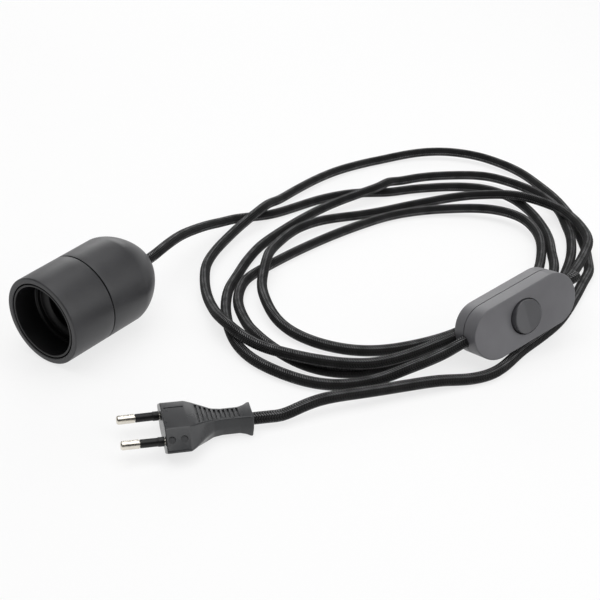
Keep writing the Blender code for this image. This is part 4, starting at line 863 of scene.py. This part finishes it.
def cut_marks(body):
    """A line on the upper face and two round marks on the flank."""
    middle = plug_middle()
    bm = bmesh.new()
    add_box(bm, LINE_SIZE, (*LINE_MIDDLE, middle * 2))
    flat, waist, half_height = PLUG_STATIONS[0][1:]
    slope = math.atan2(half_height, waist - flat)
    for distance in DOT_DISTANCES:
        place = (
            Matrix.Translation((-distance, (flat + waist) / 2, middle + half_height / 2))
            @ Matrix.Rotation(-slope, 4, "X")
        )
        add_rod(bm, DOT_RADIUS, DOT_CUT, place, 40)
    cut_with(body, bm, "face_marks")


def cut_sockets(body):
    """The openings for the cord and the two pins."""
    bm = bmesh.new()
    tail = Matrix.Translation((-plug_length(), 0, plug_middle())) @ Matrix.Rotation(math.pi / 2, 4, "Y")
    add_rod(bm, CORD_HOLE, CORD_SOCKET_CUT, tail)
    for side in (-1, 1):
        add_rod(bm, PIN_SOCKET_RADIUS, PIN_SOCKET_CUT, pin_place(side), 32)
    cut_with(body, bm, "sockets")


def pin_place(side):
    return (
        Matrix.Translation((0, side * PIN_SPACING / 2, plug_middle()))
        @ Matrix.Rotation(-side * PIN_TOE, 4, "Z")
        @ Matrix.Rotation(math.pi / 2, 4, "Y")
    )


def build_pins():
    metal_start = PIN_LENGTH - PIN_METAL
    pin = [
        (0, -PIN_ROOT), (PIN_CORE, -PIN_ROOT), (PIN_CORE, metal_start),
        (PIN_RADIUS - PIN_EDGE, metal_start), (PIN_RADIUS, metal_start + PIN_EDGE),
    ]
    pin += arc((PIN_RADIUS - PIN_TIP, PIN_LENGTH - PIN_TIP), PIN_TIP, 0, 90, 8)
    pin += [(0, PIN_LENGTH)]
    end = metal_start - GAP
    sleeve = [
        (SLEEVE_BORE, GAP), (COLLAR_RADIUS - PIN_EDGE, GAP), (COLLAR_RADIUS, GAP + PIN_EDGE),
        (COLLAR_RADIUS, COLLAR_LENGTH - PIN_EDGE), (COLLAR_RADIUS - PIN_EDGE, COLLAR_LENGTH),
        (SLEEVE_RADIUS, COLLAR_LENGTH + 2 * PIN_EDGE), (SLEEVE_RADIUS, end - PIN_EDGE),
        (SLEEVE_RADIUS - PIN_EDGE, end), (SLEEVE_BORE, end),
    ]
    for side, label in ((-1, "left"), (1, "right")):
        place = plug_place() @ pin_place(side)
        add_piece(f"pin_{label}_look", lathe(pin, 64), "nickel", ROOT, [f"plug_pin_{label}"], place)
        add_piece(f"pin_sleeve_{label}_look", lathe(sleeve, 64), "black_inside", ROOT,
                  [f"pin_sleeve_{label}"], place)


# Cords

def smooth_curve(points, per_span=24):
    """Points along the natural cubic spline through the given points."""
    points = np.array(points, float)
    chord = np.linalg.norm(np.diff(points, axis=0), axis=1)
    count = len(points)
    matrix = np.eye(count)
    right = np.zeros((count, 3))
    for i in range(1, count - 1):
        before, after = chord[i - 1], chord[i]
        matrix[i, i - 1:i + 2] = before, 2 * (before + after), after
        right[i] = 6 * ((points[i + 1] - points[i]) / after - (points[i] - points[i - 1]) / before)
    second = np.linalg.solve(matrix, right)
    found = []
    for i in range(count - 1):
        span = chord[i]
        for t in np.linspace(0, span, per_span, endpoint=False):
            a, b = (span - t) / span, t / span
            found.append(
                a * points[i] + b * points[i + 1]
                + ((a ** 3 - a) * second[i] + (b ** 3 - b) * second[i + 1]) * span ** 2 / 6
            )
    found.append(points[-1])
    return np.array(found)


def even_points(curve, step):
    steps = np.linalg.norm(np.diff(curve, axis=0), axis=1)
    along = np.concatenate([[0], np.cumsum(steps)])
    count = int(round(along[-1] / step)) + 1
    wanted = np.linspace(0, along[-1], count)
    line = np.stack([np.interp(wanted, along, curve[:, axis]) for axis in range(3)], axis=1)
    return line, wanted


def cord_mesh(name, points, node, sides=20):
    """A round tube along a line, with the braid's own coordinates on it."""
    curve = smooth_curve(points)
    curve[:, 2] = np.maximum(curve[:, 2], CORD_DIAMETER / 2)
    line, along = even_points(curve, CORD_STEP)
    heading = np.gradient(line, axis=0)
    heading /= np.linalg.norm(heading, axis=1)[:, None]
    side = np.cross(heading[0], (0, 0, 1.0))
    side /= np.linalg.norm(side)
    radius = CORD_DIAMETER / 2
    verts = []
    for point, way in zip(line, heading):
        side = side - way * np.dot(side, way)
        side /= np.linalg.norm(side)
        other = np.cross(way, side)
        for angle in turns(sides):
            verts.append(point + radius * (math.cos(angle) * side + math.sin(angle) * other))
    faces = []
    coordinates = []
    pitch = settings().braid_pitch
    for index in range(len(line) - 1):
        v0, v1 = along[index] / pitch, along[index + 1] / pitch
        for k in range(sides):
            after = (k + 1) % sides
            faces.append((index * sides + k, index * sides + after,
                          (index + 1) * sides + after, (index + 1) * sides + k))
            coordinates += [(k / sides, v0), ((k + 1) / sides, v0), ((k + 1) / sides, v1), (k / sides, v1)]
    last = (len(line) - 1) * sides
    faces.append(tuple(range(sides))[::-1])
    faces.append(tuple(range(last, last + sides)))
    coordinates += [(0.5, 0.5)] * sides * 2
    mesh = bpy.data.meshes.new(name)
    mesh.from_pydata([tuple(v) for v in verts], [], faces)
    layer = mesh.uv_layers.new(name="braid")
    layer.data.foreach_set("uv", np.array(coordinates, np.float32).ravel())
    smooth(mesh, 60.0)
    mesh.materials.append(finish("braid"))
    made = bpy.data.objects.new(name, mesh)
    bpy.context.scene.collection.objects.link(made)
    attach(made, ROOT)
    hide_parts(node)
    return made, line, float(along[-1])


def straight_lead(start, way, length):
    return [start + way * length * k / 4 for k in range(5)]


def heading_of(place, way):
    return (place.to_3x3() @ Vector(way)).normalized()


def in_metres(route):
    return [Vector(point) * 0.001 for point in route]


def build_cords():
    holder, switch, plug = holder_place(), switch_place(), plug_place()
    start = holder @ Vector((0, 0, HOLDER_CORD_START))
    high = switch @ Vector((SWITCH_CORD_START, 0, SWITCH_SEAM))
    low = switch @ Vector((-SWITCH_CORD_START, 0, SWITCH_SEAM))
    tail = plug @ Vector((-CORD_TAIL - GAP, 0, plug_middle()))
    along = heading_of(switch, (1, 0, 0))
    inside = SWITCH_LENGTH / 2 - SWITCH_CORD_START
    points = straight_lead(start, heading_of(holder, (0, 0, 1)),
                           HOLDER_LENGTH - HOLDER_CORD_START + HOLDER_LEAD)
    points += in_metres(HOLDER_CORD_ROUTE)
    points += straight_lead(high, along, inside + SWITCH_LEAD_HIGH)[::-1]
    first, first_line, first_length = cord_mesh("cord_to_switch_look", points, "cord_holder_to_switch")
    points = straight_lead(low, -along, inside + SWITCH_LEAD_LOW)
    points += in_metres(PLUG_CORD_ROUTE)
    points += straight_lead(tail, heading_of(plug, (-1, 0, 0)), PLUG_LEAD)[::-1]
    second, second_line, second_length = cord_mesh("cord_to_plug_look", points, "cord_switch_to_plug")


def dress_nodes():
    """Gives each CAD node that stays its procedural material."""
    slots = {item["node"]: item["material_slot"] for item in frame["record"]["subparts"]}
    for name, node in frame["nodes"].items():
        node.data.materials.clear()
        node.data.materials.append(finish(slots[name]))


# Stage

def area_light(name, place, size, power):
    data = bpy.data.lights.new(name, "AREA")
    data.shape = "RECTANGLE"
    data.size, data.size_y = size
    data.energy = power * settings().light_power
    made = bpy.data.objects.new(name, data)
    bpy.context.scene.collection.objects.link(made)
    made.location = place
    made.rotation_euler = (Vector(SCENE_MIDDLE) - Vector(place)).to_track_quat("-Z", "Y").to_euler()


def build_floor():
    """A pale floor, which the camera and reflections see as nearly white."""
    bm = bmesh.new()
    bmesh.ops.create_grid(bm, x_segments=2, y_segments=2, size=FLOOR_SIZE)
    floor = new_object("floor", bm)
    floor.location = (*SCENE_MIDDLE[:2], -FLOOR_DROP)
    made = Shader("floor_look", (0.95, 0.95, 0.95), 0.9)
    made.set("Specular IOR Level", 0.1)
    light = made.node("LightPath")
    seen = made.math("MAXIMUM", light.outputs["Is Camera Ray"], light.outputs["Is Glossy Ray"])
    white = made.node("Emission")
    mixed = made.node("MixShader")
    made.link(made.math("MULTIPLY", seen, FLOOR_WHITE), mixed.inputs["Fac"])
    made.link(made.shader.outputs[0], mixed.inputs[1])
    made.link(white.outputs[0], mixed.inputs[2])
    made.link(mixed.outputs[0], made.tree.nodes["Material Output"].inputs["Surface"])
    floor.data.materials.append(made.material)


def build_world():
    """A pale backdrop at the back and a pale skyline all round, dimmer above and in front."""
    world = bpy.data.worlds.new("studio")
    bpy.context.scene.world = world
    world.use_nodes = True
    world.node_tree.nodes.clear()
    made = Nodes(world.node_tree)
    place = made.node("TexCoord")
    split = made.node("SeparateXYZ")
    made.link(place.outputs["Generated"], split.inputs[0])
    level = made.map(split.outputs["Z"], start=0.15, end=0.50, low=0.95, high=0.25)
    front = made.map(split.outputs["Y"], start=-0.6, end=0.1, low=0.12, high=1.0)
    skyline = made.map(split.outputs["Z"], start=0.05, end=0.13, low=0.95, high=0.0)
    studio = made.node("Background")
    studio.inputs["Color"].default_value = (1.0, 1.0, 1.0, 1.0)
    made.link(made.math("MAXIMUM", made.math("MULTIPLY", level, front), skyline), studio.inputs["Strength"])
    out = made.node("OutputWorld")
    made.link(studio.outputs[0], out.inputs["Surface"])


def build_camera():
    data = bpy.data.cameras.new("camera")
    data.lens = CAMERA_LENS
    data.sensor_width = 36.0
    data.sensor_fit = "HORIZONTAL"
    data.clip_start = 0.02
    data.clip_end = 20.0
    data.dof.use_dof = False
    made = bpy.data.objects.new("camera", data)
    bpy.context.scene.collection.objects.link(made)
    made.location = CAMERA_PLACE
    made.rotation_euler = Vector(CAMERA_LOOK).to_track_quat("-Z", "Y").to_euler()
    bpy.context.scene.camera = made


def build_stage():
    bpy.context.scene.view_settings.view_transform = "Standard"
    build_floor()
    build_world()
    build_camera()
    for name, place, size, power in LIGHTS:
        area_light(name, place, size, power)


# Add-on parts

def colour_setting(name, description, default):
    return bpy.props.FloatVectorProperty(
        name=name, description=description, default=default, size=3, min=0.0, max=1.0, subtype="COLOR")


def length_setting(name, description, default, least, most):
    return bpy.props.FloatProperty(
        name=name, description=description, default=default, min=least, max=most, precision=5, unit="LENGTH")


class CordSetSettings(bpy.types.PropertyGroup):
    """Colours and sizes to change before the operators run"""

    charcoal_shell: colour_setting(
        "Lamp holder", "Colour of the holder's skirt and cap", (0.024, 0.024, 0.0265))
    black_inside: colour_setting(
        "Inner plastic", "Colour of the inner sleeve and of the pins' sleeves", (0.0045, 0.0045, 0.005))
    grey_switch: colour_setting("Switch", "Colour of the switch's case", (0.115, 0.114, 0.122))
    # A darker copy of the case's grey, which paints shade on the button
    grey_button: colour_setting("Button", "Colour of the rocker button", (0.055, 0.055, 0.060))
    plug_plastic: colour_setting("Plug", "Colour of the plug's body", (0.024, 0.025, 0.027))
    brown_core: colour_setting("Live core", "Colour of the live cores", (0.16, 0.06, 0.02))
    blue_core: colour_setting("Neutral core", "Colour of the neutral cores", (0.02, 0.08, 0.35))
    brass: colour_setting("Brass", "Colour of the contacts and clamps", (0.78, 0.60, 0.28))
    nickel: colour_setting("Nickel", "Colour of the plug's pins", (0.80, 0.76, 0.68))
    steel: colour_setting("Steel", "Colour of the screws", (0.60, 0.60, 0.61))
    braid_dark: colour_setting("Braid, dark", "Colour between the stitches", (0.001, 0.001, 0.0012))
    # The pale colour on the stitches' crowns: partly the paler yarn, partly a painted highlight
    braid_light: colour_setting("Braid, light", "Colour on the stitches", (0.33, 0.33, 0.335))
    braid_columns: bpy.props.IntProperty(
        name="Braid columns", description="Columns of stitches round the cord", default=12, min=4, max=48)
    braid_pitch: length_setting(
        "Stitch length", "Length of one stitch along the cord", 0.0012, 0.0004, 0.01)
    seam_edge: length_setting(
        "Holder seam", "Rounding of the edges at the holder's seam", 0.0003, 0.0001, 0.001)
    switch_edge: length_setting("Switch edge", "Rounding of the switch's faces", 0.0006, 0.0002, 0.0015)
    switch_slit: length_setting(
        "Switch seam", "Width of the seam between the case halves", 0.0005, 0.0, 0.001)
    plug_edge: length_setting("Plug edge", "Rounding of the plug's edges", 0.0006, 0.0001, 0.001)
    light_power: bpy.props.FloatProperty(
        name="Light power", description="Share of the lamps' plain power", default=1.0, min=0.0, max=4.0,
        subtype="FACTOR")


class CORDSET_OT_stage(bpy.types.Operator):
    """Builds the floor, the lights and the camera"""

    bl_idname = "cordset.stage"
    bl_label = "Build stage"

    def execute(self, context):
        build_stage()
        return {"FINISHED"}


class CORDSET_OT_nodes(bpy.types.Operator):
    """Gives the CAD nodes that stay their materials"""

    bl_idname = "cordset.nodes"
    bl_label = "Dress CAD nodes"

    def execute(self, context):
        dress_nodes()
        return {"FINISHED"}


class CORDSET_OT_holder(bpy.types.Operator):
    """Builds the lamp holder's skirt, cap and threaded sleeve"""

    bl_idname = "cordset.holder"
    bl_label = "Build lamp holder"

    def execute(self, context):
        build_skirt()
        build_cap()
        build_sleeve()
        return {"FINISHED"}


class CORDSET_OT_switch(bpy.types.Operator):
    """Builds the switch's case halves and its rocker button"""

    bl_idname = "cordset.switch"
    bl_label = "Build switch"

    def execute(self, context):
        build_switch_case()
        build_button()
        return {"FINISHED"}


class CORDSET_OT_plug(bpy.types.Operator):
    """Builds the plug's body, pins and sleeves"""

    bl_idname = "cordset.plug"
    bl_label = "Build plug"

    def execute(self, context):
        build_plug_body()
        build_pins()
        return {"FINISHED"}


class CORDSET_OT_cords(bpy.types.Operator):
    """Builds the two braided cords"""

    bl_idname = "cordset.cords"
    bl_label = "Build cords"

    def execute(self, context):
        build_cords()
        return {"FINISHED"}


class CORDSET_PT_panel(bpy.types.Panel):
    """Settings, and a button for each part of the scene"""

    bl_idname = "CORDSET_PT_panel"
    bl_label = "Cord set"
    bl_space_type = "VIEW_3D"
    bl_region_type = "UI"
    bl_category = "Cord set"

    def draw(self, context):
        for name in CordSetSettings.__annotations__:
            self.layout.prop(context.scene.cord_set, name)
        for operator in OPERATORS:
            self.layout.operator(operator.bl_idname)


OPERATORS = (
    CORDSET_OT_nodes, CORDSET_OT_holder, CORDSET_OT_switch, CORDSET_OT_plug, CORDSET_OT_cords,
    CORDSET_OT_stage,
)
CLASSES = (CordSetSettings, *OPERATORS, CORDSET_PT_panel)


def register():
    for item in CLASSES:
        bpy.utils.register_class(item)
    bpy.types.Scene.cord_set = bpy.props.PointerProperty(type=CordSetSettings)


def unregister():
    del bpy.types.Scene.cord_set
    for item in reversed(CLASSES):
        bpy.utils.unregister_class(item)


def main():
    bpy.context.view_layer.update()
    register()
    bpy.ops.cordset.nodes()
    bpy.ops.cordset.holder()
    bpy.ops.cordset.switch()
    bpy.ops.cordset.plug()
    bpy.ops.cordset.cords()
    bpy.ops.cordset.stage()


if __name__ == "__main__":
    main()
